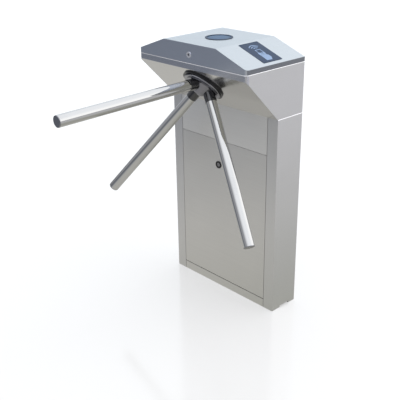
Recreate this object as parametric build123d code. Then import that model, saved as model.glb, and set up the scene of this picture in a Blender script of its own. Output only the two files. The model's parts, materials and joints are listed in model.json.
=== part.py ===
from build123d import *
import math
import os

# A tripod turnstile that counts visitors. Millimetres, +Z up, the passage is on the -Y side.
# The origin is on the floor, in the middle of the four anchor holes.

# ---- cabinet body ----
width = 520.0
body_depth = 125.0
body_height = 740.0
sheet = 1.5
seam_gap = 1.5
side_strip = 45.0
rear_strip = 20.0
base_thickness = 12.0
anchor_spacing_x = 400.0
anchor_spacing_y = 80.0
anchor_hole_radius = 6.5
deck_thickness = 3.0
deck_window_width = 240.0
deck_window_depth = 60.0

# ---- cable way in the base ----
cable_entry_x = 150.0
cable_entry_y = 5.0
cable_entry_radius = 16.0
notch_height = 7.0
notch_width = 50.0
grommet_wall = 6.0
grommet_flange = 5.0
grommet_flange_height = 3.0

# ---- head and lid ----
head_depth = 280.0
underside_slope = 45.0
band_height = 20.0
corner_radius = 12.0
lid_gap = 1.0
rim_height = 16.0
lid_rise = 49.0
top_flat_width = 250.0

# ---- door, plinth and upper panel ----
plinth_height = 34.0
door_height = 571.0
door_return = 12.0
door_hem_radius = 2.0
door_return_inset = 8.0
stop_flange_reach = 75.0
stop_flange_clearance = 0.5
stop_flange_root = 12.0
door_tab_width = 40.0
door_tab_drop = 14.0
door_tab_offset = 150.0
door_tab_clearance = 1.0

# ---- quarter-turn locks ----
door_lock_x = -20.0
door_lock_below_top = 95.5
door_lock_flange_radius = 14.0
door_lock_barrel_radius = 11.0
door_lock_plug_radius = 7.0
door_lock_depth = 6.0
door_cam_length = 42.0
lid_lock_above_seam = 28.0
lid_lock_flange_radius = 10.0
lid_lock_barrel_radius = 8.0
lid_lock_plug_radius = 5.0
lid_lock_depth = 12.0
lock_flange_thickness = 2.0
lock_shoulder = 1.0
key_slot_width = 1.6
key_slot_depth = 4.0
cam_thickness = 2.5
cam_width = 9.0
cam_hook_radius = 41.5
cam_hook_width = 5.0
cam_hook_angle = 40.0
cam_unlocked_angle = 30.0
keeper_pin_radius = 2.5
keeper_pin_drop = 34.0
keeper_pin_length = 20.0

# ---- lid lamp and reader ----
lens_from_back = 140.0
bezel_radius = 48.0
bezel_lip = 1.5
bezel_wall = 6.0
bezel_depth = 8.0
lens_thickness = 4.0
lens_dome = 1.0
lamp_board_radius = 36.0
lamp_board_thickness = 2.0
lamp_housing_height = 18.0
lamp_housing_wall = 2.0
led_count = 12
led_ring_radius = 26.0
led_size = 5.0
led_height = 1.6
reader_length = 120.0
reader_width = 88.5
reader_down_slope = 8.0
reader_corner = 3.0
reader_glass = 3.0
reader_glass_proud = 0.8
reader_tray_margin = 6.0
reader_tray_depth = 16.0

# ---- hub and arms ----
hub_up_slope = 128.8
flange_radius = 77.0
flange_bore = 45.0
flange_thickness = 5.0
flange_screw_count = 6
flange_screw_circle = 66.0
screw_radius = 2.4
screw_head_radius = 4.5
screw_head_height = 3.0
turning_gap = 1.0
cover_disc_radius = 70.0
cover_disc_thickness = 5.0
cover_disc_edge = 2.0
hub_foot_radius = 60.0
hub_foot_height = 2.5
hub_cone_radius = 46.0
hub_cone_height = 23.0
hub_nose_radius = 17.0
hub_nose_rise = 4.5
arm_count = 3
arm_angle = 44.0
arm_apex_depth = 15.8
arm_radius = 19.0
arm_wall = 1.5
arm_tip = 594.0
shoulder_clearance = 0.6
spigot_start = 40.0
spigot_end = 110.0
collar_start = 46.0
collar_end = 82.0
collar_wall = 1.2
slide_fit = 0.05
plug_length = 22.0
plug_cap = 3.0
plug_edge = 2.0

# ---- shaft, bearings and plates ----
shaft_radius = 12.5
shaft_flange_radius = 34.0
shaft_flange_thickness = 5.0
shaft_tail = 14.0
bearing_radius = 23.5
bearing_width = 12.0
bearing_split_radius = 18.0
bearing_gap = 0.3
underside_hole_radius = 36.0
plate_past_pinion = 34.0
plate_half_height = 62.0
plate_corner = 10.0
front_plate_thickness = 8.0
rear_plate_thickness = 8.0
plate_spacing = 54.5
spacer_radius = 6.0
spacer_inset = 9.0
nut_width = 36.0
nut_height = 8.0
nut_standoff = 2.0

# ---- things on the shaft, each as the gap below the one before it, and its own thickness ----
lock_wheel_gap = 8.5
lock_wheel_thickness = 6.0
lock_wheel_radius = 50.0
lock_slot_count = 12
lock_slot_width = 10.0
lock_slot_depth = 8.0
gear_gap = 6.0
gear_thickness = 6.0
gear_module = 2.0
gear_teeth = 60
pinion_teeth = 20
pressure_angle = 20.0
gear_backlash = 0.3
gear_dedendum_ratio = 1.25
flank_steps = 3
star_gap = 6.0
star_thickness = 10.0
star_tip_radius = 38.0
star_root_radius = 25.0
star_finger_width = 12.0
star_root_fillet = 4.0

# ---- counter pinion and its sensor ----
pinion_arbor_radius = 4.0
pinion_face_extra = 2.0
flag_radius = 27.0
flag_thickness = 1.5
flag_window_angle = 40.0
flag_window_depth = 10.0
flag_above_rear_plate = 9.0
arbor_fit = 0.05
sensor_slot = 4.0
sensor_width = 14.0
sensor_length = 22.0
sensor_arm = 5.0
sensor_bite = 8.0

# ---- index lever ----
roller_radius = 10.0
roller_pin_radius = 3.0
roller_clearance = 0.3
lever_length = 58.0
lever_width = 14.0
lever_thickness = 5.0
lever_plate_gap = 3.0
lever_roller_gap = 0.5
pin_head_radius = 6.0
pin_head_height = 1.5
pivot_radius = 4.0
spring_wire_radius = 0.9
spring_radius = 7.0
spring_pitch = 2.2
spring_turns = 5

# ---- lock pawls and their magnets ----
pawl_angle = -60.0
pawl_reach = 45.0
pawl_bar_width = 10.0
pawl_nose_width = 7.0
pawl_nose_clearance = 2.0
pawl_toe = 8.0
pawl_tail = 26.0
pawl_swing = 10.0
magnet_gap = 0.8
magnet_pole_radius = 6.0
magnet_pole_length = 3.0
magnet_length = 26.0
magnet_width = 22.0
magnet_height = 20.0

# ---- electrics in the body ----
board_width = 150.0
board_height = 110.0
board_thickness = 1.6
board_centre_z = 470.0
standoff_length = 12.0
standoff_radius = 4.0
standoff_inset = 8.0
chip_height = 4.0
relay_height = 15.0
relay_size = 20.0
relay_count = 4
supply_width = 130.0
supply_depth = 46.0
supply_height = 170.0
supply_x = -150.0
supply_foot = 8.0
supply_rim = 1.0

# ---- lid hinges and rear screws ----
hinge_offset_x = 170.0
hinge_length = 70.0
hinge_leaf_height = 14.0
hinge_leaf_thickness = 2.0
hinge_knuckle_radius = 4.0
hinge_pin_radius = 2.0
hinge_pin_fit = 0.05
hinge_knuckle_gap = 0.5
rear_screw_count = 3
rear_screw_edge = 80.0
rear_screw_radius = 2.0
rear_head_radius = 4.0
rear_head_height = 1.8
rear_lip_reach = 14.0

# ---- places worked out from the sizes above ----
half_width = width / 2
back_y = body_depth / 2
body_front_y = -body_depth / 2
head_front_y = back_y - head_depth
overhang = head_depth - body_depth
slope = math.radians(underside_slope)
band_bottom_z = body_height + overhang * math.tan(slope)
seam_z = band_bottom_z + band_height
lid_bottom_z = seam_z + lid_gap
rim_top_z = seam_z + rim_height
top_z = rim_top_z + lid_rise
inner_half = half_width - sheet
strip_edge = half_width - side_strip
panel_half = strip_edge - seam_gap / 2
rear_edge = half_width - rear_strip
rear_panel_half = rear_edge - seam_gap / 2
door_bottom_z = plinth_height + seam_gap / 2
door_top_z = plinth_height + door_height - seam_gap / 2
upper_panel_z = plinth_height + door_height + seam_gap / 2
lens_y = back_y - lens_from_back
lid_half_top = top_flat_width / 2
lid_slope = math.atan2(lid_rise, half_width - lid_half_top)
hinge_y = back_y + hinge_knuckle_radius
hub_point = (
    0,
    body_front_y - hub_up_slope * math.cos(slope),
    body_height + hub_up_slope * math.sin(slope),
)
hub_place = Plane(
    origin=hub_point,
    x_dir=(1, 0, 0),
    z_dir=(0, -math.sin(slope), -math.cos(slope)),
).location

# Heights along the hub axis: zero on the outside of the underside, outwards positive.
front_plate_top = -sheet
front_plate_low = front_plate_top - front_plate_thickness
rear_plate_top = front_plate_low - plate_spacing
rear_plate_low = rear_plate_top - rear_plate_thickness
shaft_flange_low = turning_gap
shaft_flange_top = shaft_flange_low + shaft_flange_thickness
cover_low = flange_thickness + turning_gap
cover_top = cover_low + cover_disc_thickness
lock_wheel_top = front_plate_low - lock_wheel_gap
lock_wheel_low = lock_wheel_top - lock_wheel_thickness
gear_top = lock_wheel_low - gear_gap
gear_low = gear_top - gear_thickness
star_top = gear_low - star_gap
star_low = star_top - star_thickness
lever_low = rear_plate_top + lever_plate_gap
lever_top = lever_low + lever_thickness
rear_bearing_low = rear_plate_top - bearing_width
nut_top = rear_bearing_low - nut_standoff
nut_low = nut_top - nut_height
shaft_end = rear_bearing_low - shaft_tail
bearing_lows = (front_plate_top - bearing_width, rear_bearing_low)
arm_slant = math.radians(arm_angle)
hub_foot_top = cover_top + hub_foot_height
hub_nose_low = hub_foot_top + hub_cone_height
shoulder_rise = hub_foot_top + arm_apex_depth + arm_radius * math.sin(arm_slant) + shoulder_clearance
arm_shoulder = shoulder_rise / math.cos(arm_slant)
pinion_x = gear_module * (gear_teeth + pinion_teeth) / 2
plate_half_width = pinion_x + plate_past_pinion
flag_low = rear_plate_top + flag_above_rear_plate
flag_top = flag_low + flag_thickness
roller_out = star_tip_radius + roller_radius + roller_clearance
pawl_bar_out = lock_wheel_radius + pawl_nose_clearance
pawl_pivot_out = pawl_bar_out + pawl_bar_width / 2
pawl_pivot = (pawl_pivot_out, pawl_reach)

BASE = (Align.CENTER, Align.CENTER, Align.MIN)


def block(x, y, z):
    """A box from three (low, high) pairs."""
    low = (min(x), min(y), min(z))
    size = (abs(x[1] - x[0]), abs(y[1] - y[0]), abs(z[1] - z[0]))
    return Pos(*low) * Box(*size, align=(Align.MIN, Align.MIN, Align.MIN))


def disc(radius, low, high, at=(0, 0)):
    """A round plate between two heights."""
    return Pos(at[0], at[1], low) * Cylinder(radius, high - low, align=BASE)


def ring(outer, inner, low, high, at=(0, 0)):
    """A round plate with a round hole."""
    return disc(outer, low, high, at) - disc(inner, low, high, at)


def bar(radius, start, end):
    """A round bar between two points."""
    axis = Vector(*end) - Vector(*start)
    place = Plane(origin=start, z_dir=axis).location
    return place * Cylinder(radius, axis.length, align=BASE)


def mirrored(shape):
    """The same piece on the other side of the middle plane."""
    return mirror(shape, about=Plane.YZ)


def both_sides(shape):
    """A piece and its mirror image, as two separate solids."""
    return [shape, mirrored(shape)]


def turned(shape, angle, at=(0, 0)):
    """A piece turned about an upright axis through a point."""
    return Pos(at[0], at[1], 0) * Rot(0, 0, angle) * Pos(-at[0], -at[1], 0) * shape


def around(shape, count, start=0.0):
    """Copies of a piece, evenly round the axis."""
    return [Rot(0, 0, start + 360.0 * i / count) * shape for i in range(count)]


def joined(shapes):
    """Several overlapping shapes as one."""
    whole = shapes[0]
    for shape in shapes[1:]:
        whole = whole + shape
    return whole


def at_hub(shape):
    """Moves a piece, or a list of them, from the bench to its place on the hub axis."""
    if isinstance(shape, list):
        return [hub_place * piece for piece in shape]
    return hub_place * shape


# ---- body ----


def side_panel():
    """Right side of the body: one sheet folded into a front strip, a side and a rear strip."""
    wall = block((inner_half, half_width), (body_front_y, back_y), (0, body_height))
    front_y = (body_front_y, body_front_y + sheet)
    front = block((strip_edge + seam_gap / 2, half_width), front_y, (0, body_height))
    rear = block((rear_edge + seam_gap / 2, half_width), (back_y - sheet, back_y), (0, body_height))
    for x, z in rear_screw_places():
        rear = rear - rear_screw_hole(x, z)
    return wall + front + rear


def right_side_panel():
    """The right side, with the cable notch at the floor."""
    low = cable_entry_y - notch_width / 2
    notch = block((inner_half - sheet, half_width + sheet), (low, low + notch_width), (0, notch_height))
    return side_panel() - notch


def base_plate():
    """Thick plate that stands on the floor and takes the anchors."""
    y = (body_front_y + sheet, back_y - sheet)
    plate = block((-inner_half, inner_half), y, (0, base_thickness))
    for x in (-anchor_spacing_x / 2, anchor_spacing_x / 2):
        for y in (-anchor_spacing_y / 2, anchor_spacing_y / 2):
            plate = plate - disc(anchor_hole_radius, 0, base_thickness, (x, y))
    entry = (cable_entry_x, cable_entry_y)
    low = cable_entry_y - notch_width / 2
    channel_x = (cable_entry_x - cable_entry_radius, half_width)
    channel = block(channel_x, (low, low + notch_width), (0, notch_height))
    return plate - disc(cable_entry_radius, 0, base_thickness, entry) - channel


def cable_grommet():
    """Rubber ring that guards the cable where it comes up through the base."""
    at = (cable_entry_x, cable_entry_y)
    bore = cable_entry_radius - grommet_wall
    sleeve = ring(cable_entry_radius, bore, notch_height, base_thickness, at)
    lip = cable_entry_radius + grommet_flange
    return sleeve + ring(lip, bore, base_thickness, base_thickness + grommet_flange_height, at)


def plinth():
    """Fixed strip below the door."""
    z = (0, plinth_height - seam_gap / 2)
    return block((-panel_half, panel_half), (body_front_y, body_front_y + sheet), z)


def upper_front_panel():
    """Fixed panel above the door, with the flange that the door closes against."""
    z = (upper_panel_z, body_height)
    face = block((-panel_half, panel_half), (body_front_y, body_front_y + sheet), z)
    flange_y = body_front_y + sheet + stop_flange_clearance
    flange_top = upper_panel_z + stop_flange_root
    x = (-panel_half + door_return_inset + 2 * sheet, panel_half - door_return_inset - 2 * sheet)
    flange = block(x, (flange_y, flange_y + sheet), (door_top_z - stop_flange_reach, flange_top))
    root = block(x, (body_front_y + sheet, flange_y), (upper_panel_z + sheet, flange_top))
    return face + root + flange


def rear_screw_places():
    """Middles of the rear panel's screws on the right side, as (x, z)."""
    x = (rear_edge + half_width) / 2
    step = (body_height - 2 * rear_screw_edge) / (rear_screw_count - 1)
    return [(x, rear_screw_edge + step * i) for i in range(rear_screw_count)]


def rear_screw_hole(x, z):
    """The hole that one rear screw goes through."""
    return bar(rear_screw_radius, (x, back_y - 2 * sheet, z), (x, back_y, z))


def back_panel():
    """Rear cover, with a lip behind each rear strip for its screws."""
    cover = block((-rear_panel_half, rear_panel_half), (back_y - sheet, back_y), (base_thickness, body_height))
    x = (rear_panel_half - rear_lip_reach, half_width - 2 * sheet)
    lip_z = (base_thickness + sheet, body_height - deck_thickness - sheet)
    lip = block(x, (back_y - 2 * sheet, back_y - sheet), lip_z)
    for place in rear_screw_places():
        lip = lip - rear_screw_hole(*place)
    return joined([cover] + both_sides(lip))


def back_panel_screws():
    """Pan-head screws that hold the rear cover."""
    screws = []
    for x, z in rear_screw_places():
        shank = bar(rear_screw_radius, (x, back_y - 2 * sheet, z), (x, back_y, z))
        head = bar(rear_head_radius, (x, back_y, z), (x, back_y + rear_head_height, z))
        screws += both_sides(shank + head)
    return screws


def deck_plate():
    """Plate that closes the top of the body and carries the head; its window lets the wires up."""
    y = (body_front_y + sheet + stop_flange_clearance + sheet, back_y - sheet)
    plate = block((-inner_half, inner_half), y, (body_height - deck_thickness, body_height))
    x = (-deck_window_width / 2, deck_window_width / 2)
    window_y = (-deck_window_depth / 2, deck_window_depth / 2)
    return plate - block(x, window_y, (body_height - deck_thickness, body_height))


# ---- head ----


def head_outline(inset, low, high):
    """The head seen from above, rounded at its two front corners, as a solid between two heights."""
    half = half_width - inset
    front = head_front_y + inset
    back = back_y - inset
    solid = block((-half, half), (front, back), (low, high))
    corners = solid.edges().filter_by(Axis.Z).group_by(Axis.Y)[0]
    return fillet(corners, corner_radius - inset)


def above_underside(inset):
    """Everything above the sloping underside, moved in by a thickness."""
    low_z = body_height + inset / math.cos(slope)
    reach = overhang + body_depth
    rise = reach * math.tan(slope)
    outline = Polyline(
        (body_front_y, low_z),
        (body_front_y - reach, low_z + rise),
        (body_front_y - reach, low_z + 2 * rise),
        (back_y, low_z + 2 * rise),
        (back_y, low_z),
        close=True,
    )
    face = make_face(Plane.YZ * outline)
    return extrude(face, amount=width, both=True)


def head_shell():
    """The four upright walls of the head, before they are taken apart."""
    walls = head_outline(0, body_height, seam_z) - head_outline(sheet, body_height, seam_z)
    return walls & above_underside(0)


def head_cheek():
    """Right cheek of the head."""
    y = (head_front_y + corner_radius, back_y)
    return head_shell() & block((inner_half, half_width), y, (body_height, seam_z))


def head_front_band():
    """Front band, bent round both corners, with the stud that the lid's lock hooks under."""
    y = (head_front_y, head_front_y + corner_radius)
    band = head_shell() & block((-half_width, half_width), y, (body_height, seam_z))
    z = seam_z + lid_lock_above_seam - keeper_pin_drop
    start = (0, head_front_y + sheet, z)
    return band + bar(keeper_pin_radius, start, (0, head_front_y + sheet + keeper_pin_length, z))


def head_back_panel():
    """Rear wall of the head."""
    return block((-inner_half, inner_half), (back_y - sheet, back_y), (body_height, seam_z))


def head_underside():
    """Sloping underside, with the hole for the shaft and the holes for the flange screws."""
    inside = head_outline(sheet, body_height, seam_z)
    plate = inside & (above_underside(0) - above_underside(sheet))
    plate = plate & block((-width, width), (head_front_y, body_front_y + sheet), (body_height, seam_z))
    holes = [disc(underside_hole_radius, -2 * sheet, sheet)]
    holes += around(disc(screw_radius, -2 * sheet, sheet, (flange_screw_circle, 0)), flange_screw_count)
    for hole in at_hub(holes):
        plate = plate - hole
    return plate


# ---- lid ----


def lid_outline(inset, bottom):
    """The lid's gable shape, run from front to back."""
    half = half_width - inset
    drop = inset / math.cos(lid_slope)
    shoulder_z = rim_top_z + inset * math.tan(lid_slope) - drop
    ridge_z = top_z - inset
    ridge_x = half_width - (ridge_z - rim_top_z + drop) / math.tan(lid_slope)
    outline = Polyline(
        (-half, bottom),
        (half, bottom),
        (half, shoulder_z),
        (ridge_x, ridge_z),
        (-ridge_x, ridge_z),
        (-half, shoulder_z),
        close=True,
    )
    face = make_face(Plane.XZ * outline)
    long = extrude(face, amount=head_depth, both=True)
    return long & head_outline(inset, bottom, top_z)


def slope_place():
    """Outside of the right slope: X runs down it from its top edge, Z points out of it."""
    down = (math.cos(lid_slope), 0, -math.sin(lid_slope))
    out = (math.sin(lid_slope), 0, math.cos(lid_slope))
    return Plane(origin=(lid_half_top, lens_y, top_z), x_dir=down, z_dir=out).location


def reader_plate(margin, low, high):
    """A rounded plate over the reader's window, in the slope's own frame."""
    x = (reader_down_slope - margin, reader_down_slope + reader_length + margin)
    y = (-reader_width / 2 - margin, reader_width / 2 + margin)
    plate = block(x, y, (low, high))
    return fillet(plate.edges().filter_by(Axis.Z), reader_corner)


def lid_lock_z():
    """Height of the lid lock's middle."""
    return seam_z + lid_lock_above_seam


def lid_shell():
    """Folded and welded lid, open below, with holes for lens, reader and lock."""
    shell = lid_outline(0, lid_bottom_z) - lid_outline(sheet, lid_bottom_z - sheet)
    spigot = bezel_radius - bezel_wall / 2
    shell = shell - disc(spigot, top_z - 2 * sheet, top_z + sheet, (0, lens_y))
    shell = shell - slope_place() * reader_plate(0, -2 * sheet, sheet)
    z = lid_lock_z()
    return shell - bar(lid_lock_barrel_radius, (0, head_front_y - sheet, z), (0, head_front_y + 2 * sheet, z))


def lens_bezel():
    """Dark rim round the lamp's lens."""
    at = (0, lens_y)
    inner = bezel_radius - bezel_wall
    lip = ring(bezel_radius, inner, top_z, top_z + bezel_lip, at)
    spigot = ring(bezel_radius - bezel_wall / 2, inner, top_z - bezel_depth, top_z, at)
    return lip + spigot


def top_lens():
    """Slightly domed lens over the lamp."""
    radius = bezel_radius - bezel_wall
    low = top_z - lens_thickness
    dome_radius = (radius**2 + lens_dome**2) / (2 * lens_dome)
    ball = Pos(0, lens_y, top_z + lens_dome - dome_radius) * Sphere(dome_radius)
    return disc(radius, low, top_z + lens_dome, (0, lens_y)) & ball


def light_module():
    """Housing, board and ring of lamps under the lens."""
    at = (0, lens_y)
    roof = top_z - lens_thickness
    radius = bezel_radius - bezel_wall
    floor = roof - lamp_housing_height
    cup = ring(radius, radius - lamp_housing_wall, floor, roof, at) + disc(
        radius, floor - lamp_housing_wall, floor, at
    )
    board = disc(lamp_board_radius, floor, floor + lamp_board_thickness, at)
    top = floor + lamp_board_thickness
    half = led_size / 2
    led = block((led_ring_radius - half, led_ring_radius + half), (-half, half), (top, top + led_height))
    lamps = [Pos(0, lens_y, 0) * piece for piece in around(led, led_count)]
    return joined([cup, board] + lamps)


def reader_window():
    """Dark glass that cards are held over, a little proud of the slope."""
    return slope_place() * reader_plate(0, reader_glass_proud - reader_glass, reader_glass_proud)


def reader_module():
    """Reader's tray, fixed behind its glass."""
    roof = -sheet
    tray = reader_plate(reader_tray_margin, roof - reader_tray_depth, roof)
    bed = reader_plate(0, reader_glass_proud - reader_glass, roof)
    return slope_place() * (tray - bed)


def hinge_leaf(lower):
    """One leaf of the right-hand lid hinge, with its share of the knuckles."""
    length = hinge_length / 3
    y = (back_y, back_y + hinge_leaf_thickness)
    x0 = hinge_offset_x - hinge_length / 2
    edge = hinge_knuckle_radius + hinge_knuckle_gap
    if lower:
        spans = [(x0, x0 + length), (x0 + 2 * length, x0 + hinge_length)]
        z = (seam_z - hinge_leaf_height, seam_z - edge)
        reach = (seam_z - edge, seam_z)
    else:
        spans = [(x0 + length + hinge_knuckle_gap, x0 + 2 * length - hinge_knuckle_gap)]
        z = (seam_z + edge, seam_z + hinge_leaf_height)
        reach = (seam_z, seam_z + edge)
    leaf = block((x0, x0 + hinge_length), y, z)
    for low, high in spans:
        knuckle = bar(hinge_knuckle_radius, (low, hinge_y, seam_z), (high, hinge_y, seam_z))
        leaf = leaf + block((low, high), y, reach) + knuckle
    bore = hinge_pin_radius if lower else hinge_pin_radius + hinge_pin_fit
    return leaf - bar(bore, (x0, hinge_y, seam_z), (x0 + hinge_length, hinge_y, seam_z))


def lid_hinge_pins():
    """Pins pressed into the lower leaves."""
    x0 = hinge_offset_x - hinge_length / 2
    pin = bar(hinge_pin_radius, (x0, hinge_y, seam_z), (x0 + hinge_length, hinge_y, seam_z))
    return both_sides(pin)


# ---- locks, drawn with the key side towards -Z and turned to face the front ----


def lock_barrel(rim_radius, barrel_radius, plug_radius, depth):
    """Fixed part of a cam lock: flange outside the sheet, barrel through it."""
    body = disc(rim_radius, -lock_flange_thickness, 0) + disc(barrel_radius, 0, depth)
    hole = disc(plug_radius + slide_fit, -lock_flange_thickness, depth)
    return body - hole


def lock_plug(plug_radius, depth, cam):
    """Turning part of a cam lock: plug with its key slot, and the cam on its end."""
    body = disc(plug_radius, lock_shoulder - lock_flange_thickness, depth + lock_shoulder + cam_thickness)
    half = key_slot_width / 2
    low = lock_shoulder - lock_flange_thickness
    slot = block((-half, half), (-plug_radius / 2, plug_radius / 2), (low, low + key_slot_depth))
    return (body - slot) + Pos(0, 0, depth + lock_shoulder) * cam


def facing_front(shape, x, y, z):
    """Turns a lock from the bench to the front: its -Z side looks towards -Y, its X stays X."""
    place = Plane(origin=(x, y, z), x_dir=(1, 0, 0), z_dir=(0, 1, 0)).location
    return place * shape


def straight_cam():
    """Plain tongue, lying level when unlocked."""
    half = cam_width / 2
    tongue = block((0, door_cam_length - half), (-half, half), (0, cam_thickness))
    end = disc(half, 0, cam_thickness, (door_cam_length - half, 0))
    return disc(door_lock_plug_radius + lock_shoulder, 0, cam_thickness) + tongue + end


def hook_cam():
    """Arm with a curved finger that turns under the stud on the head's front band."""
    inner = cam_hook_radius - cam_hook_width / 2
    outer = cam_hook_radius + cam_hook_width / 2
    arm = block((0, cam_hook_radius), (-cam_width / 2, cam_width / 2), (0, cam_thickness))
    finger = ring(outer, inner, 0, cam_thickness)
    sweep_side = 2 * outer
    sweep_angle = math.radians(cam_hook_angle)
    wedge = make_face(
        Polyline(
            (0, 0),
            (sweep_side, -cam_width / 2),
            (sweep_side * math.cos(sweep_angle), sweep_side * math.sin(sweep_angle)),
            close=True,
        )
    )
    finger = finger & extrude(wedge, amount=cam_thickness)
    hub = disc(lid_lock_plug_radius + lock_shoulder, 0, cam_thickness)
    return Rot(0, 0, -cam_unlocked_angle) * (hub + arm + finger)


def door_lock_z():
    """Height of the door lock's middle."""
    return plinth_height + door_height - door_lock_below_top


def door_hem_centre():
    """Y and Z of the middle of the door's rolled hem, which is the axis that the door tilts on."""
    return body_front_y + door_hem_radius, door_bottom_z + door_hem_radius


def door_panel():
    """Tilt-out door: face, rolled lower hem that it tilts on, side returns and two tabs behind the plinth."""
    y = (body_front_y, body_front_y + sheet)
    hem_y, hem_z = door_hem_centre()
    face = block((-panel_half, panel_half), y, (hem_z, door_top_z))
    hem = bar(door_hem_radius, (-panel_half, hem_y, hem_z), (panel_half, hem_y, hem_z))
    edge = panel_half - door_return_inset
    return_y = (body_front_y + sheet, body_front_y + sheet + door_return)
    z = (base_thickness + plinth_height, door_top_z - stop_flange_reach - door_return_inset)
    fold = block((edge - sheet, edge), return_y, z)
    tab_y = (body_front_y + sheet + door_tab_clearance, body_front_y + 2 * sheet + door_tab_clearance)
    tab_x = (door_tab_offset - door_tab_width / 2, door_tab_offset + door_tab_width / 2)
    tab = block(tab_x, tab_y, (door_bottom_z - door_tab_drop, door_bottom_z + door_tab_drop))
    link_y = (body_front_y + sheet, tab_y[0])
    link = block(tab_x, link_y, (door_bottom_z + sheet, door_bottom_z + door_tab_drop))
    door = joined([face, hem] + both_sides(fold) + both_sides(tab + link))
    at = (door_lock_x, body_front_y - sheet, door_lock_z())
    return door - bar(door_lock_barrel_radius, at, (door_lock_x, body_front_y + 2 * sheet, door_lock_z()))


def door_lock_barrel():
    """Barrel of the door lock."""
    barrel = lock_barrel(
        door_lock_flange_radius, door_lock_barrel_radius, door_lock_plug_radius, door_lock_depth
    )
    return facing_front(barrel, door_lock_x, body_front_y, door_lock_z())


def door_lock_plug():
    """Plug and tongue of the door lock."""
    plug = lock_plug(door_lock_plug_radius, door_lock_depth, straight_cam())
    return facing_front(plug, door_lock_x, body_front_y, door_lock_z())


def lid_lock_barrel():
    """Barrel of the lid lock."""
    barrel = lock_barrel(lid_lock_flange_radius, lid_lock_barrel_radius, lid_lock_plug_radius, lid_lock_depth)
    return facing_front(barrel, 0, head_front_y, lid_lock_z())


def lid_lock_plug():
    """Plug and hook of the lid lock."""
    plug = lock_plug(lid_lock_plug_radius, lid_lock_depth, hook_cam())
    return facing_front(plug, 0, head_front_y, lid_lock_z())


# ---- rotor, drawn on the bench with its axis upright ----


def arm_line(number):
    """Unit direction of an arm."""
    turn = math.radians(360.0 / arm_count * number)
    across = math.sin(arm_slant)
    return Vector(across * math.sin(turn), across * math.cos(turn), math.cos(arm_slant))


def along_arm(number, distance):
    """A point on an arm's middle line, measured from where the three lines meet."""
    return tuple(Vector(0, 0, -arm_apex_depth) + arm_line(number) * distance)


def arm_bar(number, radius, start, end):
    """A round bar on an arm's middle line."""
    return bar(radius, along_arm(number, start), along_arm(number, end))


def main_shaft():
    """Shaft with the flange that the hub is fixed to."""
    return disc(shaft_radius, shaft_end, shaft_flange_low) + disc(
        shaft_flange_radius, shaft_flange_low, shaft_flange_top
    )


def rotor_cover_disc():
    """Polished disc that turns just off the black flange."""
    plate = disc(cover_disc_radius, cover_low, cover_top)
    return fillet(plate.edges().sort_by(Axis.Z)[-1], cover_disc_edge)


def hub_cone():
    """The hub without its spigots: foot, cone and rounded nose."""
    nose_top = hub_nose_low + hub_nose_rise
    side = Polyline(
        (0, nose_top),
        (0, cover_top),
        (hub_foot_radius, cover_top),
        (hub_foot_radius, hub_foot_top),
        (hub_cone_radius, hub_foot_top),
        (hub_nose_radius, hub_nose_low),
    )
    ball = (hub_nose_radius**2 + hub_nose_rise**2) / (2 * hub_nose_rise)
    halfway = math.asin(hub_nose_radius / ball) / 2
    middle = (ball * math.sin(halfway), nose_top - ball + ball * math.cos(halfway))
    nose = ThreePointArc((hub_nose_radius, hub_nose_low), middle, (0, nose_top))
    return revolve(make_face(Plane.XZ * (side + nose)), axis=Axis.Z)


def hub_body():
    """Hub casting with a spigot for each arm."""
    whole = hub_cone()
    above = disc(hub_foot_radius + arm_tip, cover_top, cover_top + arm_tip)
    for number in range(arm_count):
        root = arm_bar(number, arm_radius, spigot_start, arm_shoulder)
        spigot = arm_bar(number, arm_radius - arm_wall - slide_fit, arm_shoulder, spigot_end)
        whole = whole + ((root + spigot) & above)
    return whole


def arm_tube(number):
    """One polished arm."""
    outer = arm_bar(number, arm_radius, arm_shoulder, arm_tip)
    return outer - arm_bar(number, arm_radius - arm_wall, arm_shoulder, arm_tip)


def arm_collars():
    """Black collars that cover the joints between hub and arms."""
    cone = hub_cone()
    above = disc(hub_foot_radius + arm_tip, cover_top, cover_top + arm_tip)
    collars = []
    for number in range(arm_count):
        outer = arm_bar(number, arm_radius + collar_wall, collar_start, collar_end)
        inner = arm_bar(number, arm_radius, collar_start, collar_end)
        collars.append(((outer - inner) & above) - cone)
    return collars


def arm_end_plugs():
    """Plugs that close the arms' tips."""
    plugs = []
    for number in range(arm_count):
        tail = arm_bar(number, arm_radius - arm_wall, arm_tip - plug_length, arm_tip)
        cap = bar(arm_radius, (0, 0, 0), (0, 0, plug_cap))
        cap = fillet(cap.edges().sort_by(Axis.Z)[-1], plug_edge)
        place = Plane(origin=along_arm(number, arm_tip), z_dir=arm_line(number)).location
        plugs.append(tail + place * cap)
    return plugs


def lock_wheel():
    """Slotted wheel that the pawls stop."""
    wheel = ring(lock_wheel_radius, shaft_radius, lock_wheel_low, lock_wheel_top)
    half = lock_slot_width / 2
    x = (lock_wheel_radius - lock_slot_depth, lock_wheel_radius + lock_slot_depth)
    slot = block(x, (-half, half), (lock_wheel_low, lock_wheel_top))
    for piece in around(slot, lock_slot_count):
        wheel = wheel - piece
    return wheel


def gear_point(radius, angle):
    """A point at a radius and an angle in radians."""
    return (radius * math.cos(angle), radius * math.sin(angle))


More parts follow.
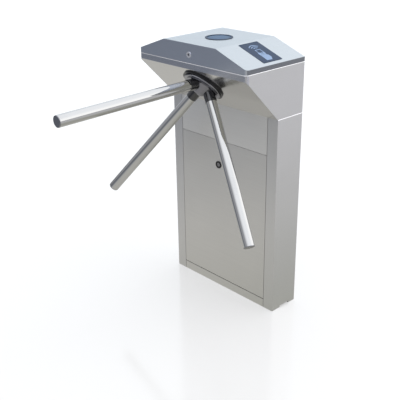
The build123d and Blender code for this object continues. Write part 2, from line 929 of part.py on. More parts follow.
def spur_gear(teeth, low, high):
    """Involute spur gear with one tooth on the +X side."""
    pitch = gear_module * teeth / 2
    base = pitch * math.cos(math.radians(pressure_angle))
    tip = pitch + gear_module
    root = pitch - gear_dedendum_ratio * gear_module
    flank_low = max(base, root)
    at_pitch = math.tan(math.radians(pressure_angle)) - math.radians(pressure_angle)
    half_pitch = math.pi / (2 * teeth) - gear_backlash / (4 * pitch)
    flank = [(root, None)] if root < base else []
    for step in range(flank_steps + 1):
        radius = flank_low + (tip - flank_low) * step / flank_steps
        flank.append((radius, radius))
    points = []
    for tooth in range(teeth):
        middle = 2 * math.pi * tooth / teeth
        side = []
        for radius, on_flank in flank:
            lean = math.acos(base / on_flank) if on_flank else 0.0
            half = half_pitch + at_pitch - (math.tan(lean) - lean)
            side.append((radius, half))
        points += [gear_point(radius, middle - half) for radius, half in side]
        points += [gear_point(radius, middle + half) for radius, half in reversed(side)]
    return Pos(0, 0, low) * extrude(make_face(Polyline(*points, close=True)), amount=high - low)


def main_gear():
    """Gear on the main shaft."""
    return spur_gear(gear_teeth, gear_low, gear_top) - disc(shaft_radius, gear_low, gear_top)


def index_star():
    """Three-fingered star whose valleys the roller drops into."""
    half = star_finger_width / 2
    end = star_tip_radius - half
    star = disc(star_root_radius, star_low, star_top)
    for direction in around(Pos(0, 0, 0), arm_count, -90.0):
        finger = block((0, end), (-half, half), (star_low, star_top)) + disc(half, star_low, star_top, (end, 0))
        star = star + direction * finger
    corners = star.edges().filter_by(Axis.Z).filter_by(
        lambda edge: abs(math.hypot(edge.center().X, edge.center().Y) - star_root_radius) < slide_fit
    )
    star = fillet(corners, star_root_fillet)
    return star - disc(shaft_radius, star_low, star_top)


def shaft_lock_nut():
    """Nut on the shaft's inner end."""
    hexagon = extrude(RegularPolygon(nut_width / 2, 6, major_radius=False), amount=nut_height)
    return Pos(0, 0, nut_low) * hexagon - disc(shaft_radius, nut_low, nut_top)


def bearing_inner_rings():
    """Inner rings of the two ball bearings."""
    return [ring(bearing_split_radius, shaft_radius, low, low + bearing_width) for low in bearing_lows]


def bearing_outer_rings():
    """Outer rings of the two ball bearings, with their shields."""
    inner = bearing_split_radius + bearing_gap
    return [ring(bearing_radius, inner, low, low + bearing_width) for low in bearing_lows]


# ---- mechanism frame ----


def hub_flange_ring():
    """Black ring screwed to the underside, round the shaft."""
    plate = ring(flange_radius, flange_bore, 0, flange_thickness)
    head_low = flange_thickness - screw_head_height
    cutter = disc(screw_radius, 0, flange_thickness, (flange_screw_circle, 0))
    cutter = cutter + disc(screw_head_radius, head_low, flange_thickness, (flange_screw_circle, 0))
    for piece in around(cutter, flange_screw_count):
        plate = plate - piece
    return plate


def flange_screws():
    """Screws that clamp ring, underside and front plate together."""
    at = (flange_screw_circle, 0)
    head_low = flange_thickness - screw_head_height
    shank = disc(screw_radius, front_plate_low, head_low, at)
    return around(shank + disc(screw_head_radius, head_low, flange_thickness, at), flange_screw_count)


def mechanism_plate(low, high):
    """A plate of the mechanism frame with its bearing seat and rounded corners."""
    x = (-plate_half_width, plate_half_width)
    y = (-plate_half_height, plate_half_height)
    plate = block(x, y, (low, high))
    plate = fillet(plate.edges().filter_by(Axis.Z), plate_corner)
    plate = plate - disc(bearing_radius, low, high)
    return plate - disc(pinion_arbor_radius + arbor_fit, low, high, (pinion_x, 0))


def front_mech_plate():
    """Plate of the mechanism against the underside."""
    plate = mechanism_plate(front_plate_low, front_plate_top)
    at = (flange_screw_circle, 0)
    for hole in around(disc(screw_radius, front_plate_low, front_plate_top, at), flange_screw_count):
        plate = plate - hole
    for x, y in pawl_pivots():
        plate = plate - disc(pivot_radius, front_plate_low, front_plate_top, (x, y))
    return plate


def rear_mech_plate():
    """Inner plate of the mechanism."""
    plate = mechanism_plate(rear_plate_low, rear_plate_top)
    return plate - disc(pivot_radius, rear_plate_low, rear_plate_top, (-lever_length, roller_out))


def mech_spacers():
    """Four posts between the two plates."""
    x = plate_half_width - spacer_inset
    y = plate_half_height - spacer_inset
    posts = []
    for side in (-y, y):
        posts += both_sides(disc(spacer_radius, rear_plate_top, front_plate_low, (x, side)))
    return posts


def pivot_pins():
    """Headed pins of the two pawls and of the index lever."""
    pins = []
    pawl_low = lock_wheel_low - slide_fit
    for at in pawl_pivots():
        shank = disc(pivot_radius, pawl_low, front_plate_top, at)
        pins.append(shank + disc(pin_head_radius, pawl_low - pin_head_height, pawl_low, at))
    at = (-lever_length, roller_out)
    spring_top = lever_top + spring_pitch * (spring_turns + 1) + 2 * spring_wire_radius
    shank = disc(pivot_radius, rear_plate_low, spring_top, at)
    pins.append(shank + disc(pin_head_radius, spring_top, spring_top + pin_head_height, at))
    return pins


# ---- index lever ----


def index_lever():
    """Lever that carries the roller over the star, with the roller's pin."""
    half = lever_width / 2
    ends = ((-lever_length, roller_out), (0, roller_out))
    plate = block((-lever_length, 0), (roller_out - half, roller_out + half), (lever_low, lever_top))
    for at in ends:
        plate = plate + disc(half, lever_low, lever_top, at)
    plate = plate - disc(pivot_radius + slide_fit, lever_low, lever_top, ends[0])
    head_low = star_top + lever_roller_gap
    pin = disc(roller_pin_radius, lever_top, head_low, ends[1])
    collar = disc(roller_pin_radius + lever_roller_gap * 2, lever_top, star_low - lever_roller_gap, ends[1])
    head = disc(roller_pin_radius + 2 * lever_roller_gap, head_low, head_low + pin_head_height, ends[1])
    return plate + pin + collar + head


def index_roller():
    """Roller that runs on the star."""
    return ring(roller_radius, roller_pin_radius + slide_fit, star_low, star_top, (0, roller_out))


def lever_spring():
    """Coil round the lever's pivot that presses the roller inwards."""
    height = spring_pitch * spring_turns
    coil = Helix(pitch=spring_pitch, height=height, radius=spring_radius)
    start = Plane(origin=coil @ 0, z_dir=coil % 0)
    wire = sweep(start * Circle(spring_wire_radius), path=coil, is_frenet=True)
    return Pos(-lever_length, roller_out, lever_top + spring_wire_radius + slide_fit) * wire


# ---- pawls and magnets ----


def pawl_pivots():
    """Places of the right and the left pawl's pivot."""
    turn = math.radians(pawl_angle)
    x = pawl_pivot_out * math.cos(turn) - pawl_reach * math.sin(turn)
    y = pawl_pivot_out * math.sin(turn) + pawl_reach * math.cos(turn)
    return [(x, y), (-x, y)]


def right_pawl():
    """Pawl swung clear of the lock wheel."""
    z = (lock_wheel_low, lock_wheel_top)
    half = pawl_nose_width / 2
    bar_x = (pawl_bar_out, pawl_bar_out + pawl_bar_width)
    pawl = block(bar_x, (-pawl_toe, pawl_reach + pawl_tail), z)
    nose_x = (lock_wheel_radius - lock_slot_depth + pawl_nose_clearance, pawl_bar_out)
    pawl = pawl + block(nose_x, (-half, half), z)
    pawl = pawl + disc(2 * pivot_radius, z[0], z[1], pawl_pivot)
    pawl = pawl - disc(pivot_radius + slide_fit, z[0], z[1], pawl_pivot)
    return Rot(0, 0, pawl_angle) * turned(pawl, pawl_swing, pawl_pivot)


def right_lock_magnet():
    """Magnet that pulls the pawl's tail, standing on the front plate."""
    middle = pawl_reach + (pivot_radius * 2 + pawl_tail) / 2
    face = pawl_bar_out + pawl_bar_width + magnet_gap
    level = (lock_wheel_low + lock_wheel_top) / 2
    pole = bar(magnet_pole_radius, (face, middle, level), (face + magnet_pole_length, middle, level))
    x = (face + magnet_pole_length, face + magnet_pole_length + magnet_length)
    y = (middle - magnet_width / 2, middle + magnet_width / 2)
    case = block(x, y, (front_plate_low - magnet_height, front_plate_low))
    return Rot(0, 0, pawl_angle) * (case + pole)


# ---- counter ----


def counter_pinion():
    """Pinion and flag disc pressed on their arbor; the three turn once for each visitor."""
    face = (gear_low - pinion_face_extra, gear_top + pinion_face_extra)
    half_tooth = 180.0 / pinion_teeth
    pinion = Rot(0, 0, half_tooth) * spur_gear(pinion_teeth, face[0], face[1])
    pinion = pinion - disc(pinion_arbor_radius, face[0], face[1])
    arbor = disc(pinion_arbor_radius, rear_plate_low, front_plate_top)
    flag = ring(flag_radius, pinion_arbor_radius, flag_low, flag_top)
    reach = flag_radius + flag_window_depth
    spread = math.radians(flag_window_angle / 2)
    wedge = make_face(
        Polyline((0, 0), gear_point(reach, -spread), gear_point(reach, spread), close=True)
    )
    window = Pos(0, 0, flag_low) * extrude(wedge, amount=flag_thickness)
    flag = flag - (window - disc(flag_radius - flag_window_depth, flag_low, flag_top))
    return [Pos(pinion_x, 0, 0) * piece for piece in (pinion, arbor, flag)]


def count_sensor():
    """Forked light gate over the flag's edge, standing on the rear plate."""
    edge = pinion_x + flag_radius - sensor_bite
    middle = (flag_low + flag_top) / 2
    z = (rear_plate_top, middle + sensor_slot / 2 + sensor_arm)
    body = block((edge, edge + sensor_length), (-sensor_width / 2, sensor_width / 2), z)
    slot_z = (middle - sensor_slot / 2, middle + sensor_slot / 2)
    slot_x = (edge, edge + sensor_bite + turning_gap)
    return body - block(slot_x, (-sensor_width / 2, sensor_width / 2), slot_z)


# ---- electrics ----


def control_board():
    """Circuit board with its relays and main chip."""
    front = back_y - sheet - standoff_length
    y = (front - board_thickness, front)
    z = (board_centre_z - board_height / 2, board_centre_z + board_height / 2)
    board = block((-board_width / 2, board_width / 2), y, z)
    step = board_width / relay_count
    top = z[1] - standoff_inset
    for number in range(relay_count):
        x = -board_width / 2 + step * (number + 0.5)
        relay_x = (x - relay_size / 2, x + relay_size / 2)
        relay = block(relay_x, (y[0] - relay_height, y[0]), (top - 2 * relay_size, top - relay_size))
        board = board + relay
    half = relay_size / 2
    low = z[0] + relay_size
    return board + block((-half, half), (y[0] - chip_height, y[0]), (low, low + relay_size))


def board_standoffs():
    """Pillars between the rear cover and the board."""
    front = back_y - sheet - standoff_length
    x = board_width / 2 - standoff_inset
    pillars = []
    for side in (-1, 1):
        z = board_centre_z + side * (board_height / 2 - standoff_inset)
        pillars += both_sides(bar(standoff_radius, (x, front, z), (x, back_y - sheet, z)))
    return pillars


def power_supply():
    """Closed mains supply that stands on the base, against the rear cover."""
    x = (supply_x - supply_width / 2, supply_x + supply_width / 2)
    rear = back_y - 2 * sheet - supply_rim
    z = (base_thickness, base_thickness + supply_height)
    case = block(x, (rear - supply_depth, rear), z)
    foot_x = (x[0] - supply_foot, x[1] + supply_foot)
    return case + block(foot_x, (rear - supply_depth, rear), (base_thickness, base_thickness + 2 * sheet))


def nodes():
    """Every piece by name: a solid, or a list of separate solids."""
    made = {
        "base_plate": base_plate(),
        "right_side_panel": right_side_panel(),
        "left_side_panel": mirrored(side_panel()),
        "back_panel": back_panel(),
        "back_panel_screws": back_panel_screws(),
        "upper_front_panel": upper_front_panel(),
        "plinth": plinth(),
        "deck_plate": deck_plate(),
        "cable_grommet": cable_grommet(),
        "head_right_cheek": head_cheek(),
        "head_left_cheek": mirrored(head_cheek()),
        "head_front_band": head_front_band(),
        "head_back_panel": head_back_panel(),
        "head_underside": head_underside(),
        "lid_shell": lid_shell(),
        "lens_bezel": lens_bezel(),
        "top_lens": top_lens(),
        "light_module": light_module(),
        "reader_window": reader_window(),
        "reader_module": reader_module(),
        "lid_hinge_lower_leaves": both_sides(hinge_leaf(True)),
        "lid_hinge_upper_leaves": both_sides(hinge_leaf(False)),
        "lid_hinge_pins": lid_hinge_pins(),
        "lid_lock_barrel": lid_lock_barrel(),
        "lid_lock_plug": lid_lock_plug(),
        "door_panel": door_panel(),
        "door_lock_barrel": door_lock_barrel(),
        "door_lock_plug": door_lock_plug(),
        "control_board": control_board(),
        "board_standoffs": board_standoffs(),
        "power_supply": power_supply(),
    }
    on_the_hub_axis = {
        "hub_flange_ring": hub_flange_ring(),
        "flange_screws": flange_screws(),
        "front_mech_plate": front_mech_plate(),
        "rear_mech_plate": rear_mech_plate(),
        "mech_spacers": mech_spacers(),
        "bearing_outer_rings": bearing_outer_rings(),
        "bearing_inner_rings": bearing_inner_rings(),
        "pivot_pins": pivot_pins(),
        "right_lock_magnet": right_lock_magnet(),
        "left_lock_magnet": mirrored(right_lock_magnet()),
        "count_sensor": count_sensor(),
        "main_shaft": main_shaft(),
        "rotor_cover_disc": rotor_cover_disc(),
        "hub_body": hub_body(),
        "arm_collars": arm_collars(),
        "arm_end_plugs": arm_end_plugs(),
        "lock_wheel": lock_wheel(),
        "main_gear": main_gear(),
        "index_star": index_star(),
        "shaft_lock_nut": shaft_lock_nut(),
        "index_lever": index_lever(),
        "index_roller": index_roller(),
        "lever_spring": lever_spring(),
        "right_pawl": right_pawl(),
        "left_pawl": mirrored(right_pawl()),
        "counter_pinion": counter_pinion(),
    }
    for number in range(arm_count):
        on_the_hub_axis[f"arm_{number + 1}"] = arm_tube(number)
    for name, shape in on_the_hub_axis.items():
        made[name] = at_hub(shape)
    return made


os.makedirs("parts", exist_ok=True)
for name, shape in nodes().items():
    solids = shape if isinstance(shape, list) else [shape]
    pieces = [solid for group in solids for solid in group.solids()]
    export_step(pieces[0] if len(pieces) == 1 else Compound(children=pieces), f"parts/{name}.step")
    print(name, len(pieces))
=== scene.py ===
"""Finished looks of a three-arm turnstile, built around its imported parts.

Each sub-assembly is a class that knows its own sizes, makes the pieces that need more than the plain
parts have, and dresses the parts that stay. All lengths are metres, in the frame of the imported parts.
"""

import json
import logging
import math
from dataclasses import dataclass
from enum import Enum
from typing import Sequence

import bmesh
import bpy
from mathutils import Matrix, Vector


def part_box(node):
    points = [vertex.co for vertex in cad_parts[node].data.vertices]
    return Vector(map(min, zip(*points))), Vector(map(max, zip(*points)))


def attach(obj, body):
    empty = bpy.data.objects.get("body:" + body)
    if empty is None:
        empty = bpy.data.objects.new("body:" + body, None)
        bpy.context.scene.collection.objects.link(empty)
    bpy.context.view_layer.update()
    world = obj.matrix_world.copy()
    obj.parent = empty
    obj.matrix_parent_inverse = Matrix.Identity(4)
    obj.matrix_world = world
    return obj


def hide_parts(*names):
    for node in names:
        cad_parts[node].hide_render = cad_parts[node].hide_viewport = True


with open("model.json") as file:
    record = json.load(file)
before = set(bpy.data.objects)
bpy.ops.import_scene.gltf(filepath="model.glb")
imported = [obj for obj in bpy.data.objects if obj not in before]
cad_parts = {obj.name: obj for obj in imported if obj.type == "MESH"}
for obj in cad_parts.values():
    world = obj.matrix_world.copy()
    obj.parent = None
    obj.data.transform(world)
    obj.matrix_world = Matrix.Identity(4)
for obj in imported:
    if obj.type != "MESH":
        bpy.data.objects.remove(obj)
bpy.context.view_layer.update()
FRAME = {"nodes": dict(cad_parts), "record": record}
LOG = logging.getLogger("turnstile")

Colour = tuple[float, float, float]
Triple = tuple[float, float, float]
Point = tuple[float, float]
Socket = bpy.types.NodeSocket
MM = 0.001
WELD = 0.01 * MM
FLAT_TURN = 0.5
PART_CREASE = 28.0


class Grain(Enum):
    """Direction that a sheet was brushed in, as the scale of its streaks along X, Y and Z."""

    LEVEL_X = (4.0, 900.0, 900.0)
    LEVEL_Y = (900.0, 4.0, 900.0)
    UPRIGHT = (900.0, 900.0, 4.0)
    SLOPED = (4.0, 620.0, 620.0)


class Graph:
    """Node graph of one finish, ending in a single principled shader."""

    def __init__(self, name: str) -> None:
        """Starts an empty graph.

        Args:
            name: Name of the material that the graph belongs to.
        """
        self.material = bpy.data.materials.new(name)
        self.material.use_nodes = True
        tree = self.material.node_tree
        self.nodes, self.links = tree.nodes, tree.links
        self.nodes.clear()
        self.output = self.nodes.new("ShaderNodeOutputMaterial")
        self.shader = self.nodes.new("ShaderNodeBsdfPrincipled")
        self.links.new(self.shader.outputs["BSDF"], self.output.inputs["Surface"])

    def node(self, kind: str, **values: object) -> bpy.types.Node:
        """Adds a node and sets its properties.

        Args:
            kind: Blender's name of the node type.
            **values: Properties to set on the node.

        Returns:
            The new node.
        """
        made = self.nodes.new(kind)
        for key, value in values.items():
            setattr(made, key, value)
        return made

    def set(self, **values: object) -> None:
        """Sets constant values on the shader's own sockets, named with _ for each space."""
        for key, value in values.items():
            self.shader.inputs[key.replace("_", " ")].default_value = value

    def coordinates(self, scale: Triple) -> Socket:
        """Gives the piece's own coordinates, stretched.

        Args:
            scale: Factor along X, Y and Z.

        Returns:
            The vector socket.
        """
        source = self.node("ShaderNodeTexCoord")
        mapping = self.node("ShaderNodeMapping")
        mapping.inputs["Scale"].default_value = scale
        self.links.new(source.outputs["Object"], mapping.inputs["Vector"])
        return mapping.outputs["Vector"]

    def noise(self, scale: Triple, detail: float = 3.0, roughness: float = 0.55) -> Socket:
        """Adds noise over the piece's own coordinates.

        Args:
            scale: Number of lumps to the metre along X, Y and Z.
            detail: Number of finer layers.
            roughness: Strength of the finer layers.

        Returns:
            The noise value's socket.
        """
        texture = self.node("ShaderNodeTexNoise")
        texture.inputs["Scale"].default_value = 1.0
        texture.inputs["Detail"].default_value = detail
        texture.inputs["Roughness"].default_value = roughness
        self.links.new(self.coordinates(scale), texture.inputs["Vector"])
        return texture.outputs["Fac"]

    def remap(self, value: Socket, source: Point, target: Point) -> Socket:
        """Maps one range of a value smoothly onto another.

        Args:
            value: Socket that is read.
            source: Low and high end of the range that is read.
            target: What the two ends become.

        Returns:
            The mapped value's socket.
        """
        mapping = self.node("ShaderNodeMapRange", interpolation_type="SMOOTHSTEP")
        for name, number in zip(("From Min", "From Max", "To Min", "To Max"), (*source, *target)):
            mapping.inputs[name].default_value = number
        self.links.new(value, mapping.inputs["Value"])
        return mapping.outputs["Result"]

    def mix(self, mask: Socket, first: object, second: object) -> Socket:
        """Mixes two colours by a mask.

        Args:
            mask: Socket that is 0 where the first colour shows and 1 where the second does.
            first: Colour or socket.
            second: Colour or socket.

        Returns:
            The mixed colour's socket.
        """
        mixer = self.node("ShaderNodeMix", data_type="RGBA")
        self.links.new(mask, mixer.inputs["Factor"])
        for socket, value in ((mixer.inputs[6], first), (mixer.inputs[7], second)):
            if isinstance(value, Socket):
                self.links.new(value, socket)
            else:
                socket.default_value = (*value, 1.0)
        return mixer.outputs[2]

    def math(self, operation: str, first: object, second: object) -> Socket:
        """Adds a sum of two values or sockets.

        Args:
            operation: Blender's name of the operation.
            first: Number or socket.
            second: Number or socket.

        Returns:
            The result's socket.
        """
        made = self.node("ShaderNodeMath", operation=operation)
        for socket, value in zip(made.inputs, (first, second)):
            if isinstance(value, Socket):
                self.links.new(value, socket)
            else:
                socket.default_value = value
        return made.outputs["Value"]

    def bump(self, height: Socket, distance: float, strength: float = 1.0) -> None:
        """Raises the surface by a height.

        Args:
            height: Socket that holds 0 to 1.
            distance: Height in metres at 1.
            strength: Share of the bump that shows.
        """
        raised = self.node("ShaderNodeBump")
        raised.inputs["Distance"].default_value = distance
        raised.inputs["Strength"].default_value = strength
        self.links.new(height, raised.inputs["Height"])
        self.links.new(raised.outputs["Normal"], self.shader.inputs["Normal"])

    def feed(self, name: str, socket: Socket) -> None:
        """Leads a socket into one of the shader's inputs."""
        self.links.new(socket, self.shader.inputs[name])


def shaded(colour: Colour, factor: float) -> Colour:
    """Gives a colour made darker or lighter.

    Args:
        colour: Linear colour.
        factor: What each channel is multiplied by.

    Returns:
        The new colour, no channel above 1.
    """
    return tuple(min(1.0, channel * factor) for channel in colour)


@dataclass(frozen=True)
class BrushedSteel:
    """Stainless sheet with fine brushed streaks, faint clouds, painted highlight bands at given heights
    where its folded edges would catch light, and, where given, painted reflection and shade by which way a
    face turns.
    """

    colour: Colour
    roughness: float = 0.3
    grain: Grain = Grain.LEVEL_X
    painted_highlight_heights: tuple[float, ...] = ()
    painted_highlight_half_width: float = 1.6 * MM
    painted_highlight_colour: Colour = (0.95, 0.95, 0.96)
    upright_painted_light_colour: Colour | None = None
    end_painted_shade_colour: Colour | None = None
    streak_share: float = 0.10
    cloud_share: float = 0.10
    clouds_per_metre: float = 3.1
    streak_height: float = 0.02 * MM

    def make(self, name: str) -> bpy.types.Material:
        """Builds the material.

        Args:
            name: Name of the material.

        Returns:
            The material.
        """
        graph = Graph(name)
        streaks = graph.noise(self.grain.value, detail=4.0, roughness=0.7)
        clouds = graph.noise((self.clouds_per_metre,) * 3, detail=2.0)
        base = self.colour
        # painted reflection and shade by face direction: upright faces get a lighter, bluer colour and faces
        # turned to X a dark one
        if self.upright_painted_light_colour is not None:
            upright_painted_mask = normal_mask(graph, "Z", (0.35, 0.6), (1.0, 0.0))
            base = graph.mix(upright_painted_mask, self.colour, self.upright_painted_light_colour)
        if self.end_painted_shade_colour is not None:
            end = normal_mask(graph, "X", (0.75, 0.9), (0.0, 1.0))
            base = graph.mix(end, base, self.end_painted_shade_colour)
        streaked = graph.remap(streaks, (0.3, 0.7), (0.0, self.streak_share))
        colour = graph.mix(streaked, base, shaded(self.colour, 0.72))
        clouded = graph.remap(clouds, (0.35, 0.65), (0.0, self.cloud_share))
        colour = graph.mix(clouded, colour, shaded(self.colour, 1.22))
        # painted highlight: near-white bands at the seam heights stand for the glints along the folded edges
        if self.painted_highlight_heights:
            edge = height_mask(graph, self.painted_highlight_heights, self.painted_highlight_half_width)
            colour = graph.mix(edge, colour, self.painted_highlight_colour)
        graph.feed("Base Color", colour)
        spread = graph.remap(streaks, (0.25, 0.75), (self.roughness - 0.05, self.roughness + 0.07))
        graph.feed("Roughness", spread)
        graph.set(Metallic=1.0)
        graph.bump(streaks, self.streak_height, 0.5)
        return graph.material


def normal_mask(graph: Graph, axis: str, source: Point, target: Point) -> Socket:
    """Marks faces by how far they are turned to an axis.

    Args:
        graph: Graph that the nodes are added to.
        axis: Letter of the axis.
        source: Range of the face's turn that is read, 0 across the axis and 1 along it.
        target: What the two ends of the range become.

    Returns:
        The mask's socket.
    """
    geometry = graph.node("ShaderNodeNewGeometry")
    parts = graph.node("ShaderNodeSeparateXYZ")
    graph.links.new(geometry.outputs["True Normal"], parts.inputs["Vector"])
    return graph.remap(graph.math("ABSOLUTE", parts.outputs[axis], 0.0), source, target)


def height_mask(graph: Graph, heights: Sequence[float], half_width: float) -> Socket:
    """Marks narrow level bands, where highlights are painted.

    Args:
        graph: Graph that the nodes are added to.
        heights: Heights of the bands' middles.
        half_width: Half of a band's width.

    Returns:
        A socket that is 1 in the bands and 0 elsewhere.
    """
    parts = graph.node("ShaderNodeSeparateXYZ")
    graph.links.new(graph.coordinates((1.0, 1.0, 1.0)), parts.inputs["Vector"])
    mask: object = 0.0
    for height in heights:
        away = graph.math("ABSOLUTE", graph.math("SUBTRACT", parts.outputs["Z"], height), 0.0)
        band = graph.remap(away, (half_width * 0.6, half_width), (1.0, 0.0))
        mask = graph.math("MAXIMUM", band, mask)
    return mask


@dataclass(frozen=True)
class PolishedMetal:
    """Bright drawn or cast metal, polished, with hairline scratches and a faint handling haze."""

    colour: Colour
    roughness: float = 0.06
    haze: float = 0.08
    scratch: Triple = (260.0, 260.0, 40.0)
    scratch_height: float = 0.012 * MM
    lumps_per_metre: float = 9.0

    def make(self, name: str) -> bpy.types.Material:
        """Builds the material.

        Args:
            name: Name of the material.

        Returns:
            The material.
        """
        graph = Graph(name)
        haze = graph.noise((self.lumps_per_metre,) * 3, detail=4.0)
        scratches = graph.noise(self.scratch, detail=5.0, roughness=0.75)
        dulled = graph.remap(haze, (0.4, 0.7), (0.0, 0.35))
        colour = graph.mix(dulled, self.colour, shaded(self.colour, 0.86))
        graph.feed("Base Color", colour)
        graph.feed("Roughness", graph.remap(haze, (0.4, 0.75), (self.roughness, self.roughness + self.haze)))
        graph.set(Metallic=1.0)
        graph.bump(scratches, self.scratch_height, 0.35)
        return graph.material


@dataclass(frozen=True)
class TurnedMetal:
    """Machined metal with the fine rings that a lathe leaves about an axis."""

    colour: Colour
    centre: Triple
    axis: Triple
    roughness: float = 0.28
    rings_per_metre: float = 2600.0
    ring_height: float = 0.01 * MM
    oil_per_metre: float = 40.0

    def make(self, name: str) -> bpy.types.Material:
        """Builds the material.

        Args:
            name: Name of the material.

        Returns:
            The material.
        """
        graph = Graph(name)
        source = graph.coordinates((1.0, 1.0, 1.0))
        offset = graph.node("ShaderNodeVectorMath", operation="SUBTRACT")
        offset.inputs[1].default_value = self.centre
        graph.links.new(source, offset.inputs[0])
        across = graph.node("ShaderNodeVectorMath", operation="CROSS_PRODUCT")
        across.inputs[1].default_value = self.axis
        graph.links.new(offset.outputs["Vector"], across.inputs[0])
        length = graph.node("ShaderNodeVectorMath", operation="LENGTH")
        graph.links.new(across.outputs["Vector"], length.inputs[0])
        wave = graph.math("SINE", graph.math("MULTIPLY", length.outputs["Value"], self.rings_per_metre), 0.0)
        oil = graph.noise((self.oil_per_metre,) * 3, detail=4.0)
        oiled = graph.remap(oil, (0.35, 0.7), (0.0, 0.5))
        colour = graph.mix(oiled, self.colour, shaded(self.colour, 0.78))
        graph.feed("Base Color", colour)
        graph.feed("Roughness", graph.remap(oil, (0.3, 0.7), (self.roughness - 0.06, self.roughness + 0.1)))
        graph.set(Metallic=1.0)
        graph.bump(wave, self.ring_height, 0.4)
        return graph.material


@dataclass(frozen=True)
class Moulding:
    """Moulded plastic, rubber or paint: fine grain, faint clouds and a coat where it is glossy."""

    colour: Colour
    roughness: float = 0.45
    coat: float = 0.0
    grain_per_metre: float = 1400.0
    grain_height: float = 0.04 * MM
    clouds: float = 0.25
    clouds_per_metre: float = 22.0
    specular: float = 0.5

    def make(self, name: str) -> bpy.types.Material:
        """Builds the material.

        Args:
            name: Name of the material.

        Returns:
            The material.
        """
        graph = Graph(name)
        fine = graph.noise((self.grain_per_metre,) * 3, detail=2.0)
        cloud = graph.noise((self.clouds_per_metre,) * 3, detail=3.0)
        clouded = graph.remap(cloud, (0.35, 0.7), (0.0, self.clouds))
        colour = graph.mix(clouded, self.colour, shaded(self.colour, 1.35))
        graph.feed("Base Color", colour)
        spread = (self.roughness - 0.05, self.roughness + 0.08)
        graph.feed("Roughness", graph.remap(cloud, (0.3, 0.7), spread))
        graph.set(Metallic=0.0, Specular_IOR_Level=self.specular)
        graph.set(Coat_Weight=self.coat, Coat_Roughness=0.06)
        graph.bump(fine, self.grain_height, 0.4)
        return graph.material


@dataclass(frozen=True)
class CircuitBoard:
    """Solder mask over copper tracks that run in short square steps."""

    colour: Colour = (0.012, 0.11, 0.045)
    track_colour: Colour = (0.03, 0.2, 0.09)
    tracks_per_metre: float = 210.0
    track_height: float = 0.08 * MM

    def make(self, name: str) -> bpy.types.Material:
        """Builds the material.

        Args:
            name: Name of the material.

        Returns:
            The material.
        """
        graph = Graph(name)
        cells = graph.node("ShaderNodeTexVoronoi", feature="F1", distance="MANHATTAN")
        cells.inputs["Scale"].default_value = self.tracks_per_metre
        cells.inputs["Randomness"].default_value = 0.6
        graph.links.new(graph.coordinates((1.0, 1.0, 1.0)), cells.inputs["Vector"])
        track = graph.remap(cells.outputs["Distance"], (0.42, 0.5), (0.0, 1.0))
        graph.feed("Base Color", graph.mix(track, self.colour, self.track_colour))
        graph.feed("Roughness", graph.remap(track, (0.0, 1.0), (0.3, 0.42)))
        graph.set(Metallic=0.0, Coat_Weight=0.4, Coat_Roughness=0.15)
        graph.bump(track, self.track_height, 0.6)
        return graph.material


@dataclass(frozen=True)
class TintedAcrylic:
    """Tinted clear plastic, glossy, darker towards its rim: painted shade that stands for light through the
    depth of the tint.
    """

    colour: Colour
    rim_shade_colour: Colour
    centre: Triple
    radius: float
    roughness: float = 0.09
    dust_per_metre: float = 60.0
    dust_height: float = 0.01 * MM

    def make(self, name: str) -> bpy.types.Material:
        """Builds the material.

        Args:
            name: Name of the material.

        Returns:
            The material.
        """
        graph = Graph(name)
        offset = graph.node("ShaderNodeVectorMath", operation="DISTANCE")
        offset.inputs[1].default_value = self.centre
        graph.links.new(graph.coordinates((1.0, 1.0, 1.0)), offset.inputs[0])
        # painted shade: the colour darkens from 0.6 of the radius out to the rim
        edge = graph.remap(offset.outputs["Value"], (self.radius * 0.6, self.radius), (0.0, 1.0))
        dust = graph.noise((self.dust_per_metre,) * 3, detail=5.0)
        colour = graph.mix(edge, self.colour, self.rim_shade_colour)
        dusty = graph.remap(dust, (0.45, 0.8), (0.0, 0.25))
        colour = graph.mix(dusty, colour, shaded(self.colour, 1.3))
        graph.feed("Base Color", colour)
        graph.feed("Roughness", graph.remap(dust, (0.4, 0.8), (self.roughness, self.roughness + 0.1)))
        graph.set(Metallic=0.0, Specular_IOR_Level=0.12)
        graph.bump(dust, self.dust_height, 0.3)
        return graph.material


